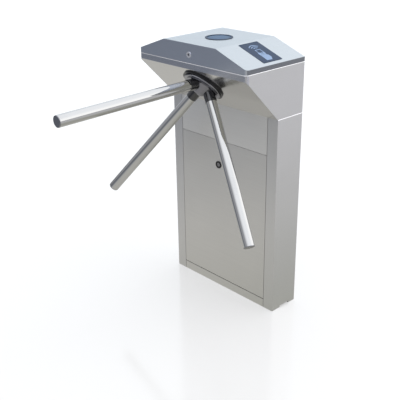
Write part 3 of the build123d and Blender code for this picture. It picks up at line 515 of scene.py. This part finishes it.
class Part:
    """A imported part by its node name: where it is, what it rides on and how it is dressed."""

    def __init__(self, node: str) -> None:
        """Finds the part.

        Args:
            node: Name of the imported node.
        """
        self.node = node
        self.shape: bpy.types.Object = FRAME["nodes"][node]
        low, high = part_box(node)
        self.low, self.high = Vector(low), Vector(high)
        self.centre = (self.low + self.high) / 2

    @property
    def body(self) -> str:
        """Name of the body that the part belongs to."""
        bodies = FRAME["record"]["behaviour"]["bodies"]
        return next(body for body, nodes in bodies.items() if self.node in nodes)

    def dress(self, material: bpy.types.Material) -> None:
        """Gives the part a finish.

        Args:
            material: Finish for all of its faces.
        """
        dress(self.shape, material)
        LOG.info("part %s dressed in %s", self.node, material.name)

    def eased(
        self, width: float, material: bpy.types.Material, turn: float = 30.0
    ) -> bpy.types.Object:
        """Replaces the part by a copy whose sharp edges are eased, as folded or deburred sheet has them.

        Args:
            width: How far the easing goes in from an edge.
            material: Finish of the copy.
            turn: Least angle between two faces, in degrees, for the edge between them to be eased.

        Returns:
            The new piece.
        """
        mesh = self.shape.data.copy()
        work = bmesh.new()
        work.from_mesh(mesh)
        bmesh.ops.remove_doubles(work, verts=work.verts, dist=WELD)
        flat = math.radians(FLAT_TURN)
        bmesh.ops.dissolve_limit(work, angle_limit=flat, verts=work.verts, edges=work.edges)
        sharp = math.radians(turn)
        edges = [edge for edge in work.edges if edge.is_manifold and edge.calc_face_angle(0.0) > sharp]
        bmesh.ops.bevel(
            work, geom=edges, offset=width, segments=2, profile=0.6, affect="EDGES", clamp_overlap=True
        )
        return self._stand_in(work, mesh, material)

    def _stand_in(
        self, work: bmesh.types.BMesh, mesh: bpy.types.Mesh, material: bpy.types.Material
    ) -> bpy.types.Object:
        """Turns worked geometry into a piece that stands for this part.

        Args:
            work: The geometry, which is freed.
            mesh: Mesh that receives it.
            material: Finish of the piece.

        Returns:
            The new piece.
        """
        work.to_mesh(mesh)
        work.free()
        mesh.name = self.node + ".finished"
        piece = bpy.data.objects.new(self.node + ".finished", mesh)
        bpy.context.scene.collection.objects.link(piece)
        dress(piece, material)
        smooth(piece, PART_CREASE)
        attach(piece, self.body)
        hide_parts(self.node)
        LOG.info("piece %s made", piece.name)
        return piece


def dress(shape: bpy.types.Object, material: bpy.types.Material) -> None:
    """Gives an object one finish in all of its slots.

    Args:
        shape: Object that is dressed.
        material: Finish.
    """
    if not shape.material_slots:
        shape.data.materials.append(material)
    for place in shape.material_slots:
        place.material = material


def smooth(piece: bpy.types.Object, limit: float) -> None:
    """Shades a piece smooth, but for edges sharper than a limit.

    Args:
        piece: Mesh object.
        limit: Angle in degrees above which an edge stays crisp.
    """
    piece.data.shade_smooth()
    piece.data.set_sharp_from_angle(angle=math.radians(limit))
    weighing = piece.modifiers.new("face_weighing", "WEIGHTED_NORMAL")
    weighing.keep_sharp = True


@dataclass(frozen=True)
class Place:
    """A frame to build in: an origin with its own X, Y and outward Z."""

    origin: Vector
    across: Vector
    outward: Vector

    @property
    def matrix(self) -> Matrix:
        """Matrix that carries the frame's coordinates to the world's."""
        side = self.outward.cross(self.across)
        turn = Matrix((self.across, side, self.outward)).transposed().to_4x4()
        return Matrix.Translation(self.origin) @ turn


LEVEL = Place(Vector((0, 0, 0)), Vector((1, 0, 0)), Vector((0, 0, 1)))


class Maker:
    """Makes meshes in a frame and turns them into pieces that ride on a body."""

    @staticmethod
    def piece(
        name: str,
        work: bmesh.types.BMesh,
        place: Place,
        body: str,
        slot: str,
        material: bpy.types.Material,
        crisp: float = 35.0,
    ) -> bpy.types.Object:
        """Turns worked geometry into a piece.

        Args:
            name: Name of the piece.
            work: Geometry in the frame's coordinates, which is freed.
            place: Frame that it was made in.
            body: Body that it rides on.
            slot: The record's material slot; not used.
            material: Finish.
            crisp: Angle in degrees above which an edge stays crisp.

        Returns:
            The new piece.
        """
        bmesh.ops.recalc_face_normals(work, faces=work.faces)
        work.transform(place.matrix)
        mesh = bpy.data.meshes.new(name)
        work.to_mesh(mesh)
        work.free()
        piece = bpy.data.objects.new(name, mesh)
        bpy.context.scene.collection.objects.link(piece)
        dress(piece, material)
        smooth(piece, crisp)
        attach(piece, body)
        LOG.info("piece %s made", name)
        return piece

    @staticmethod
    def slab(work: bmesh.types.BMesh, outline: Sequence[Point], low: float, high: float) -> None:
        """Raises an outline into a plate.

        Args:
            work: Geometry that the plate is added to.
            outline: Points in order, as X and Y.
            low: Height of the plate's foot.
            high: Height of its top.
        """
        floor = [work.verts.new((x, y, low)) for x, y in outline]
        roof = [work.verts.new((x, y, high)) for x, y in outline]
        work.faces.new(list(reversed(floor)))
        work.faces.new(roof)
        count = len(outline)
        for start in range(count):
            end = (start + 1) % count
            work.faces.new((floor[start], floor[end], roof[end], roof[start]))

    @staticmethod
    def loft(work: bmesh.types.BMesh, rows: Sequence[Sequence[Triple]]) -> None:
        """Skins rows of points into a closed bar, its ends capped.

        Args:
            work: Geometry that the bar is added to.
            rows: Rows that run the bar's length, in order round its section.
        """
        made = [[work.verts.new(point) for point in row] for row in rows]
        for first, second in zip(made, made[1:] + made[:1]):
            for step in range(len(first) - 1):
                work.faces.new((first[step], first[step + 1], second[step + 1], second[step]))
        for end in (0, -1):
            work.faces.new([row[end] for row in made])

    @staticmethod
    def rounded(width: float, height: float, radius: float, steps: int = 6) -> list[Point]:
        """Gives the outline of a rectangle with round corners.

        Args:
            width: Size along X.
            height: Size along Y.
            radius: Radius of the corners.
            steps: Number of facets in a corner.

        Returns:
            The points in order.
        """
        points = []
        corners = ((1, 1, 0.0), (-1, 1, 90.0), (-1, -1, 180.0), (1, -1, 270.0))
        for side_x, side_y, start in corners:
            for step in range(steps + 1):
                angle = math.radians(start + 90.0 * step / steps)
                x = side_x * (width / 2 - radius) + radius * math.cos(angle)
                y = side_y * (height / 2 - radius) + radius * math.sin(angle)
                points.append((x, y))
        return points

    @staticmethod
    def strip(path: Sequence[Point], width: float) -> list[Point]:
        """Gives the outline of a line of even width.

        Args:
            path: Points of the line's middle.
            width: Width of the line.

        Returns:
            The points in order, up one side and down the other.
        """
        left, right = [], []
        for index, point in enumerate(path):
            before = Vector(path[max(index - 1, 0)])
            after = Vector(path[min(index + 1, len(path) - 1)])
            along = (after - before).normalized()
            side = Vector((-along.y, along.x)) * width / 2
            left.append(tuple(Vector(point) + side))
            right.append(tuple(Vector(point) - side))
        return left + right[::-1]


def joint_place(name: str) -> Place:
    """Gives the frame of a hinge: its point, the world's X and its axis.

    Args:
        name: Name of the joint in the record.

    Returns:
        The frame.
    """
    joint = next(j for j in FRAME["record"]["behaviour"]["joints"] if j["name"] == name)
    return Place(Vector(joint["pos_m"]), Vector((1, 0, 0)), Vector(joint["axis"]).normalized())


class Finishes:
    """All the finishes of the object, each made once."""

    def __init__(self) -> None:
        """Makes the finishes."""
        hub = joint_place("rotor_turn")
        centre, axis = tuple(hub.origin), tuple(hub.outward)
        lens = Part("top_lens")
        reader = Part("reader_window")
        steel: Colour = (0.70, 0.695, 0.68)
        cool: Colour = (0.68, 0.68, 0.68)
        seam = Part("head_front_band").high.z
        deck = Part("head_right_cheek").low.z
        self.front = BrushedSteel(steel, 0.42, Grain.LEVEL_X).make("front_steel")
        # upper front panel: a lighter copy of the front steel, painted light against the shade under the
        # head's overhang
        self.upper = BrushedSteel(shaded(steel, 1.19), 0.45, Grain.LEVEL_X).make("upper_steel_painted_light")
        self.side = BrushedSteel(cool, 0.40, Grain.LEVEL_Y).make("side_steel")
        # cheek and band: painted highlight bands at the seam and deck heights
        self.cheek = BrushedSteel(cool, 0.34, Grain.LEVEL_Y, (seam, deck)).make("cheek_steel")
        self.band = BrushedSteel((0.59, 0.60, 0.645), 0.26, Grain.LEVEL_X, (seam,)).make("band_steel")
        # underside: a darker copy of the front steel, painted shade on the slope that faces down
        self.underside = BrushedSteel(shaded(steel, 0.92), 0.14, Grain.SLOPED).make("underside_steel")
        # lid: the darker top, lighter bluer upright faces and dark ends turned to X are painted reflection
        # and shade by face direction
        self.lid = BrushedSteel(
            (0.51, 0.55, 0.575),
            0.30,
            Grain.LEVEL_Y,
            upright_painted_light_colour=(0.605, 0.64, 0.715),
            end_painted_shade_colour=(0.20, 0.21, 0.23),
        ).make("lid_steel")
        # folded lips: lighter and more polished than the sheet steel they fold from, a painted highlight
        # along the seams
        self.lip = PolishedMetal((0.88, 0.88, 0.89), 0.22, 0.06).make("folded_edge_painted_highlight")
        self.chrome = PolishedMetal((0.59, 0.59, 0.58), 0.045, 0.05).make("arm_chrome")
        self.hub = PolishedMetal((0.25, 0.25, 0.275), 0.12, 0.06).make("hub_dark")
        self.disc = TurnedMetal((0.32, 0.32, 0.34), centre, axis, 0.14).make("disc_bright")
        self.black = Moulding((0.010, 0.010, 0.012), 0.30, coat=0.25, specular=0.25).make("black_gloss")
        self.collar = Moulding((0.010, 0.010, 0.012), 0.14, coat=1.0, specular=0.6).make("collar_gloss")
        self.plug = PolishedMetal((0.33, 0.33, 0.35), 0.15, 0.08).make("plug_dark")
        self.lens = TintedAcrylic(
            (0.062, 0.125, 0.22), (0.042, 0.085, 0.145), tuple(lens.centre), lens.high.x, 0.4
        ).make("lens_blue")
        self.bezel = Moulding((0.022, 0.042, 0.082), 0.4, specular=0.2).make("bezel_navy")
        self.reader = TintedAcrylic(
            (0.035, 0.06, 0.11), (0.025, 0.045, 0.09), tuple(reader.centre), 0.08, 0.3
        ).make("reader_navy")
        self.motif = Moulding((0.27, 0.38, 0.56), 0.4, specular=0.2).make("motif_pale")
        self.matte = Moulding((0.03, 0.03, 0.032), 0.6).make("black_matte")
        self.aluminium = PolishedMetal((0.72, 0.73, 0.74), 0.3, 0.12).make("mech_aluminium")
        self.machined = TurnedMetal((0.60, 0.60, 0.61), centre, axis, 0.26).make("machined_steel")
        self.zinc = PolishedMetal((0.62, 0.63, 0.60), 0.34, 0.14).make("zinc_steel")
        self.base = Moulding((0.05, 0.052, 0.055), 0.5).make("base_paint")
        self.brass = TurnedMetal((0.72, 0.53, 0.24), centre, axis, 0.24).make("gear_brass")
        self.lock = PolishedMetal((0.86, 0.86, 0.88), 0.1, 0.08).make("lock_chrome")
        self.lid_lock = PolishedMetal((0.93, 0.93, 0.95), 0.42, 0.08).make("lid_lock_satin")
        self.magnet = Moulding((0.02, 0.02, 0.022), 0.4, coat=0.2).make("magnet_paint")
        self.board = CircuitBoard().make("board_green")
        self.supply = PolishedMetal((0.62, 0.63, 0.65), 0.36, 0.12).make("supply_case")
        self.rubber = Moulding((0.015, 0.015, 0.016), 0.75, grain_height=0.08 * MM).make("grommet_rubber")


@dataclass
class Cabinet:
    """Folded sheet body: sides, front strips, door, plinth and back."""

    finishes: Finishes
    fold_easing: float = 0.9 * MM
    panel_easing: float = 0.45 * MM

    def build(self) -> None:
        """Makes the eased panels and dresses what stays."""
        look = self.finishes
        for node in ("right_side_panel", "left_side_panel"):
            Part(node).eased(self.fold_easing, look.side)
        # the upper front panel takes the lighter copy with painted light
        finish_of = {"upper_front_panel": look.upper, "plinth": look.front, "back_panel": look.front}
        for node, finish in finish_of.items():
            Part(node).eased(self.panel_easing, finish)
        Part("base_plate").dress(look.base)
        Part("deck_plate").dress(look.zinc)
        Part("cable_grommet").dress(look.rubber)
        Part("back_panel_screws").dress(look.lock)


@dataclass
class Door:
    """Tilt-out service door with its lock."""

    finishes: Finishes
    panel_easing: float = 0.45 * MM

    def build(self) -> None:
        """Makes the eased door and dresses its lock."""
        look = self.finishes
        Part("door_panel").eased(self.panel_easing, look.front)
        Part("door_lock_barrel").dress(look.black)
        Part("door_lock_plug").dress(look.plug)


@dataclass
class Head:
    """Overhanging head: cheeks, front band, back and the sloping underside."""

    finishes: Finishes
    edge_easing: float = 0.6 * MM
    corner_radius: float = 12.0 * MM
    corner_steps: int = 8
    lip_profile: tuple[Point, ...] = (
        (-0.3 * MM, -1.6 * MM),
        (0.7 * MM, -1.4 * MM),
        (1.0 * MM, -0.9 * MM),
        (0.1 * MM, 0.5 * MM),
        (-0.3 * MM, 0.5 * MM),
    )

    def build(self) -> None:
        """Makes the eased sheets of the head and the folded lips along its seams."""
        look = self.finishes
        for node in ("head_right_cheek", "head_left_cheek"):
            Part(node).eased(self.edge_easing, look.cheek)
        Part("head_front_band").dress(look.band)
        Part("head_back_panel").eased(self.edge_easing, look.front)
        Part("head_underside").dress(look.underside)
        for node in ("lid_hinge_lower_leaves", "lid_hinge_upper_leaves"):
            Part(node).dress(look.zinc)
        Part("lid_hinge_pins").dress(look.machined)
        self._seam_lip()
        self._deck_lips()

    def _outline(self, out: float) -> list[Point]:
        """Gives the head's outline from above, from its right back corner round the front to its left one.

        Args:
            out: How far outside the sheets the outline lies.

        Returns:
            The points in order.
        """
        cheek, band = Part("head_right_cheek"), Part("head_front_band")
        side, back, front = cheek.high.x, cheek.high.y, band.low.y
        points = [(side + out, back)]
        for hand, start in ((1, 0.0), (-1, -90.0)):
            for step in range(self.corner_steps + 1):
                angle = math.radians(start - 90.0 * step / self.corner_steps)
                x = hand * (side - self.corner_radius) + (self.corner_radius + out) * math.cos(angle)
                y = front + self.corner_radius + (self.corner_radius + out) * math.sin(angle)
                points.append((x, y))
        return points + [(-side - out, back)]

    def _seam_lip(self) -> None:
        """Makes the folded lip under the lid, round the front and both sides, in a lighter finish that
        paints a highlight along the seam.
        """
        seam = Part("head_front_band").high.z
        work = bmesh.new()
        rows = [[(x, y, seam + rise) for x, y in self._outline(out)] for out, rise in self.lip_profile]
        Maker.loft(work, rows)
        Maker.piece("head_seam_lip", work, LEVEL, "cabinet", "cabinet_steel", self.finishes.lip)

    def _deck_lips(self) -> None:
        """Makes the folded lips where the cheeks stand on the side panels, in the lighter finish that paints
        a highlight along them.
        """
        panel = Part("right_side_panel")
        for name, hand in (("right_deck_lip", 1), ("left_deck_lip", -1)):
            work = bmesh.new()
            rows = [
                [(hand * (panel.high.x + out), y, panel.high.z + rise) for y in (panel.low.y, panel.high.y)]
                for out, rise in self.lip_profile
            ]
            Maker.loft(work, rows)
            Maker.piece(name, work, LEVEL, "cabinet", "cabinet_steel", self.finishes.lip)


@dataclass
class Lid:
    """Hipped lid with the lamp, the reader and its lock."""

    finishes: Finishes
    edge_easing: float = 0.7 * MM
    motif_height: float = 0.15 * MM
    motif_layer: float = 0.015 * MM
    motif_line: float = 3.2 * MM
    palm_mm: tuple[Point, ...] = ((-17, -49), (6, -50), (15, -38), (16, -24), (9, -18), (-17, -18))
    card_mm: tuple[Point, ...] = ((-11, -14), (11, -14), (11, 14), (-11, 14), (-11, -14))
    finger_count: int = 4
    finger_start_mm: float = -14.3
    finger_pitch_mm: float = 7.4
    finger_drop: float = 12 * MM
    finger_size: Triple = (5.4 * MM, 17 * MM, 2.6 * MM)
    wave_radii: tuple[float, ...] = (10.0 * MM, 18.0 * MM, 26.0 * MM)
    wave_rise: float = 16 * MM
    wave_degrees: range = range(38, 150, 8)

    def build(self) -> None:
        """Makes the eased lid shell and the reader's motif, and dresses its fittings."""
        look = self.finishes
        Part("lid_shell").eased(self.edge_easing, look.lid, turn=12.0)
        Part("lens_bezel").dress(look.bezel)
        Part("top_lens").dress(look.lens)
        Part("light_module").dress(look.matte)
        Part("reader_window").dress(look.reader)
        Part("reader_module").dress(look.matte)
        Part("lid_lock_barrel").dress(look.lid_lock)
        Part("lid_lock_plug").dress(look.plug)
        self._motif()

    def _window(self) -> Place:
        """Gives the frame of the reader's glass: its middle, X towards the back and Z out of the glass."""
        part = Part("reader_window")
        faces = [face for face in part.shape.data.polygons if face.normal.z > 0.5]
        area = sum(face.area for face in faces)
        outward = sum((face.normal * face.area for face in faces), Vector()).normalized()
        middle = sum((face.center * face.area for face in faces), Vector()) / area
        return Place(middle, Vector((0, 1, 0)), outward)

    def _motif(self) -> None:
        """Makes the plain sign on the glass: a hand that holds a card towards three waves."""
        place = self._window()
        sign = bmesh.new()
        plates = [[(x * MM, y * MM) for x, y in self.palm_mm]]
        for (x, y), (far_x, far_y) in zip(self.card_mm, self.card_mm[1:]):
            plates.append(Maker.strip(((x * MM, y * MM), (far_x * MM, far_y * MM)), self.motif_line))
        tip = Maker.rounded(*self.finger_size)
        for finger in range(self.finger_count):
            across = (self.finger_start_mm + self.finger_pitch_mm * finger) * MM
            plates.append([(x + across, y - self.finger_drop) for x, y in tip])
        turns = [math.radians(degree) for degree in self.wave_degrees]
        for radius in self.wave_radii:
            arc = [(radius * math.cos(turn), radius * math.sin(turn) + self.wave_rise) for turn in turns]
            plates.append(Maker.strip(arc, self.motif_line))
        for layer, outline in enumerate(plates):
            Maker.slab(sign, outline, 0.0, self.motif_height + layer * self.motif_layer)
        Maker.piece("reader_sign", sign, place, "lid", "reader_navy", self.finishes.motif)


@dataclass
class Hub:
    """Flange ring, bright disc and dark cone that carry the three arms."""

    finishes: Finishes

    def build(self) -> None:
        """Dresses the hub's parts."""
        look = self.finishes
        Part("hub_flange_ring").dress(look.black)
        Part("flange_screws").dress(look.black)
        Part("rotor_cover_disc").dress(look.disc)
        Part("hub_body").dress(look.hub)
        Part("arm_collars").dress(look.collar)
        for number in (1, 2, 3):
            Part(f"arm_{number}").dress(look.chrome)
        Part("arm_end_plugs").dress(look.plug)


@dataclass
class Mechanism:
    """Shaft, plates, gears, pawls and magnets behind the underside."""

    finishes: Finishes

    def build(self) -> None:
        """Dresses the mechanism's parts."""
        look = self.finishes
        finish_of = {
            "main_shaft": look.machined,
            "lock_wheel": look.machined,
            "main_gear": look.machined,
            "index_star": look.machined,
            "shaft_lock_nut": look.zinc,
            "bearing_inner_rings": look.lock,
            "bearing_outer_rings": look.lock,
            "front_mech_plate": look.aluminium,
            "rear_mech_plate": look.aluminium,
            "mech_spacers": look.zinc,
            "pivot_pins": look.machined,
            "right_lock_magnet": look.magnet,
            "left_lock_magnet": look.magnet,
            "count_sensor": look.matte,
            "counter_pinion": look.brass,
            "index_lever": look.zinc,
            "lever_spring": look.lock,
            "index_roller": look.matte,
            "right_pawl": look.zinc,
            "left_pawl": look.zinc,
        }
        for node, finish in finish_of.items():
            Part(node).dress(finish)


@dataclass
class Electrics:
    """Control board and power supply inside the cabinet."""

    finishes: Finishes

    def build(self) -> None:
        """Dresses the electrical parts."""
        look = self.finishes
        Part("control_board").dress(look.board)
        Part("board_standoffs").dress(look.zinc)
        Part("power_supply").dress(look.supply)


@dataclass
class Studio:
    """Pale floor, soft sky and the camera."""

    floor_radius: float = 40.0
    camera_turn: float = 0.830
    camera_rise: float = 0.423
    camera_roll: float = -0.019
    camera_distance: float = 2.868
    target: Triple = (-0.217, 0.0, 0.261)
    lens: float = 63.2
    sensor: float = 36.0
    shift: tuple[float, float] = (0.0102, 0.0139)
    floor_colours: tuple[Colour, Colour] = ((0.44, 0.435, 0.425), (0.46, 0.455, 0.445))
    floor_roughness: tuple[float, float] = (0.10, 0.14)
    floor_glow: float = 0.43
    ramp_direction: Triple = (0.74, 0.68, 0.0)
    ramp_length: float = 6.0
    ramp_stops: tuple[tuple[float, Colour], ...] = (
        (0.04, (0.24, 0.26, 0.30)),
        (0.24, (0.56, 0.56, 0.56)),
        (0.42, (0.64, 0.63, 0.60)),
        (0.54, (0.48, 0.48, 0.44)),
        (0.64, (0.56, 0.56, 0.54)),
        (0.80, (0.66, 0.655, 0.67)),
        (1.0, (0.70, 0.70, 0.735)),
    )
    bright_side: Triple = (0.72, 0.69, 0.0)
    back_side: Triple = (0.0, 1.0, 0.0)
    back_colours: tuple[Colour, Colour] = ((1.0, 1.07, 1.15), (1.6, 1.6, 1.62))
    front_colour: Colour = (0.42, 0.43, 0.47)
    horizon_colour: Colour = (0.13, 0.13, 0.135)
    zenith_colour: Colour = (1.35, 1.38, 1.45)

    def build(self) -> None:
        """Makes the floor, the sky and the camera."""
        self._floor()
        self._world()
        self._camera()
        scene = bpy.context.scene
        scene.view_settings.view_transform = "Standard"
        scene.view_settings.look = "None"

    def _floor(self) -> None:
        """Makes a wide pale floor that mirrors softly, and looks greyer where metal mirrors it."""
        work = bmesh.new()
        bmesh.ops.create_circle(work, cap_ends=True, segments=96, radius=self.floor_radius)
        mesh = bpy.data.meshes.new("studio_floor")
        work.to_mesh(mesh)
        work.free()
        floor = bpy.data.objects.new("studio_floor", mesh)
        bpy.context.scene.collection.objects.link(floor)
        graph = Graph("floor_pale")
        cloud = graph.noise((0.6, 0.6, 0.6), detail=2.0)
        clouded = graph.remap(cloud, (0.3, 0.7), (0.0, 1.0))
        graph.feed("Base Color", graph.mix(clouded, *self.floor_colours))
        graph.feed("Roughness", graph.remap(cloud, (0.3, 0.7), self.floor_roughness))
        graph.set(Metallic=0.0, Specular_IOR_Level=0.9)
        graph.set(Emission_Color=(1.0, 1.0, 0.99, 1.0), Emission_Strength=self.floor_glow)
        self._mirrored_floor(graph)
        dress(floor, graph.material)

    def _mirrored_floor(self, graph: Graph) -> None:
        """Adds the look that the floor has in mirrors: a grey ramp across the room.

        Args:
            graph: The floor's graph.
        """
        toward = graph.node("ShaderNodeVectorMath", operation="DOT_PRODUCT")
        toward.inputs[1].default_value = self.ramp_direction
        graph.links.new(graph.coordinates((1.0, 1.0, 1.0)), toward.inputs[0])
        place = graph.math("MULTIPLY_ADD", toward.outputs["Value"], 1.0 / self.ramp_length)
        place.node.inputs[2].default_value = 0.5
        ramp = graph.node("ShaderNodeValToRGB")
        while len(ramp.color_ramp.elements) < len(self.ramp_stops):
            ramp.color_ramp.elements.new(0.5)
        for element, (position, colour) in zip(ramp.color_ramp.elements, self.ramp_stops):
            element.position = position
            element.color = (*colour, 1.0)
        graph.links.new(place, ramp.inputs["Fac"])
        glow = graph.node("ShaderNodeEmission")
        graph.links.new(ramp.outputs["Color"], glow.inputs["Color"])
        path = graph.node("ShaderNodeLightPath")
        either = graph.node("ShaderNodeMixShader")
        graph.links.new(path.outputs["Is Camera Ray"], either.inputs["Fac"])
        graph.links.new(glow.outputs["Emission"], either.inputs[1])
        graph.links.new(graph.shader.outputs["BSDF"], either.inputs[2])
        graph.links.new(either.outputs["Shader"], graph.output.inputs["Surface"])

    def _world(self) -> None:
        """Makes a soft sky: bright overhead and behind the object, dark low down behind the camera."""
        world = bpy.data.worlds.new("studio_sky")
        bpy.context.scene.world = world
        world.use_nodes = True
        nodes, links = world.node_tree.nodes, world.node_tree.links
        nodes.clear()
        output = nodes.new("ShaderNodeOutputWorld")
        back = nodes.new("ShaderNodeBackground")
        links.new(back.outputs["Background"], output.inputs["Surface"])
        source = nodes.new("ShaderNodeTexCoord")
        parts = nodes.new("ShaderNodeSeparateXYZ")
        links.new(source.outputs["Generated"], parts.inputs["Vector"])

        def facing(direction: Triple) -> Socket:
            """Gives how far a ray of the sky points along a direction."""
            made = nodes.new("ShaderNodeVectorMath")
            made.operation = "DOT_PRODUCT"
            made.inputs[1].default_value = direction
            links.new(source.outputs["Generated"], made.inputs[0])
            return made.outputs["Value"]

        def smooth_step(value: Socket, low: float, high: float) -> Socket:
            """Gives 0 below low and 1 above high."""
            made = nodes.new("ShaderNodeMapRange")
            made.interpolation_type = "SMOOTHSTEP"
            made.inputs["From Min"].default_value = low
            made.inputs["From Max"].default_value = high
            links.new(value, made.inputs["Value"])
            return made.outputs["Result"]

        def blend(mask: Socket, first: object, second: object) -> Socket:
            """Mixes two colours or sockets by a mask."""
            made = nodes.new("ShaderNodeMix")
            made.data_type = "RGBA"
            links.new(mask, made.inputs["Factor"])
            for socket, value in ((made.inputs[6], first), (made.inputs[7], second)):
                if isinstance(value, Socket):
                    links.new(value, socket)
                else:
                    socket.default_value = (*value, 1.0)
            return made.outputs[2]

        back_sky = blend(smooth_step(facing(self.bright_side), -0.1, 0.7), *self.back_colours)
        low_sky = blend(smooth_step(facing(self.back_side), -0.2, 0.35), self.front_colour, back_sky)
        above = blend(smooth_step(parts.outputs["Z"], 0.0, 0.10), self.horizon_colour, low_sky)
        sky = blend(smooth_step(parts.outputs["Z"], 0.35, 0.85), above, self.zenith_colour)
        path = nodes.new("ShaderNodeLightPath")
        links.new(blend(path.outputs["Is Camera Ray"], sky, (1.0, 1.0, 1.0)), back.inputs["Color"])
        back.inputs["Strength"].default_value = 1.0

    def _camera(self) -> None:
        """Sets the camera at the viewing angle."""
        turn, rise, roll = self.camera_turn, self.camera_rise, self.camera_roll
        back = Vector((math.sin(turn) * math.cos(rise), -math.cos(turn) * math.cos(rise), math.sin(rise)))
        right = Vector((math.cos(turn), math.sin(turn), 0.0))
        up = back.cross(right)
        level = Matrix((right, up, back)).transposed().to_4x4()
        spin = Matrix.Rotation(roll, 4, "Z")
        data = bpy.data.cameras.new("studio_camera")
        data.lens, data.sensor_width = self.lens, self.sensor
        data.shift_x, data.shift_y = self.shift
        data.clip_start, data.clip_end = 0.05, 100.0
        camera = bpy.data.objects.new("studio_camera", data)
        stand = Vector(self.target) + back * self.camera_distance
        camera.matrix_world = Matrix.Translation(stand) @ level @ spin
        bpy.context.scene.collection.objects.link(camera)
        bpy.context.scene.camera = camera


def main() -> None:
    """Builds every sub-assembly in order."""
    logging.basicConfig(level=logging.INFO, format="%(message)s")
    finishes = Finishes()
    for assembly in (
        Cabinet(finishes),
        Door(finishes),
        Head(finishes),
        Lid(finishes),
        Hub(finishes),
        Mechanism(finishes),
        Electrics(finishes),
        Studio(),
    ):
        assembly.build()
        LOG.info("sub-assembly %s done", type(assembly).__name__)


if __name__ == "__main__":
    main()
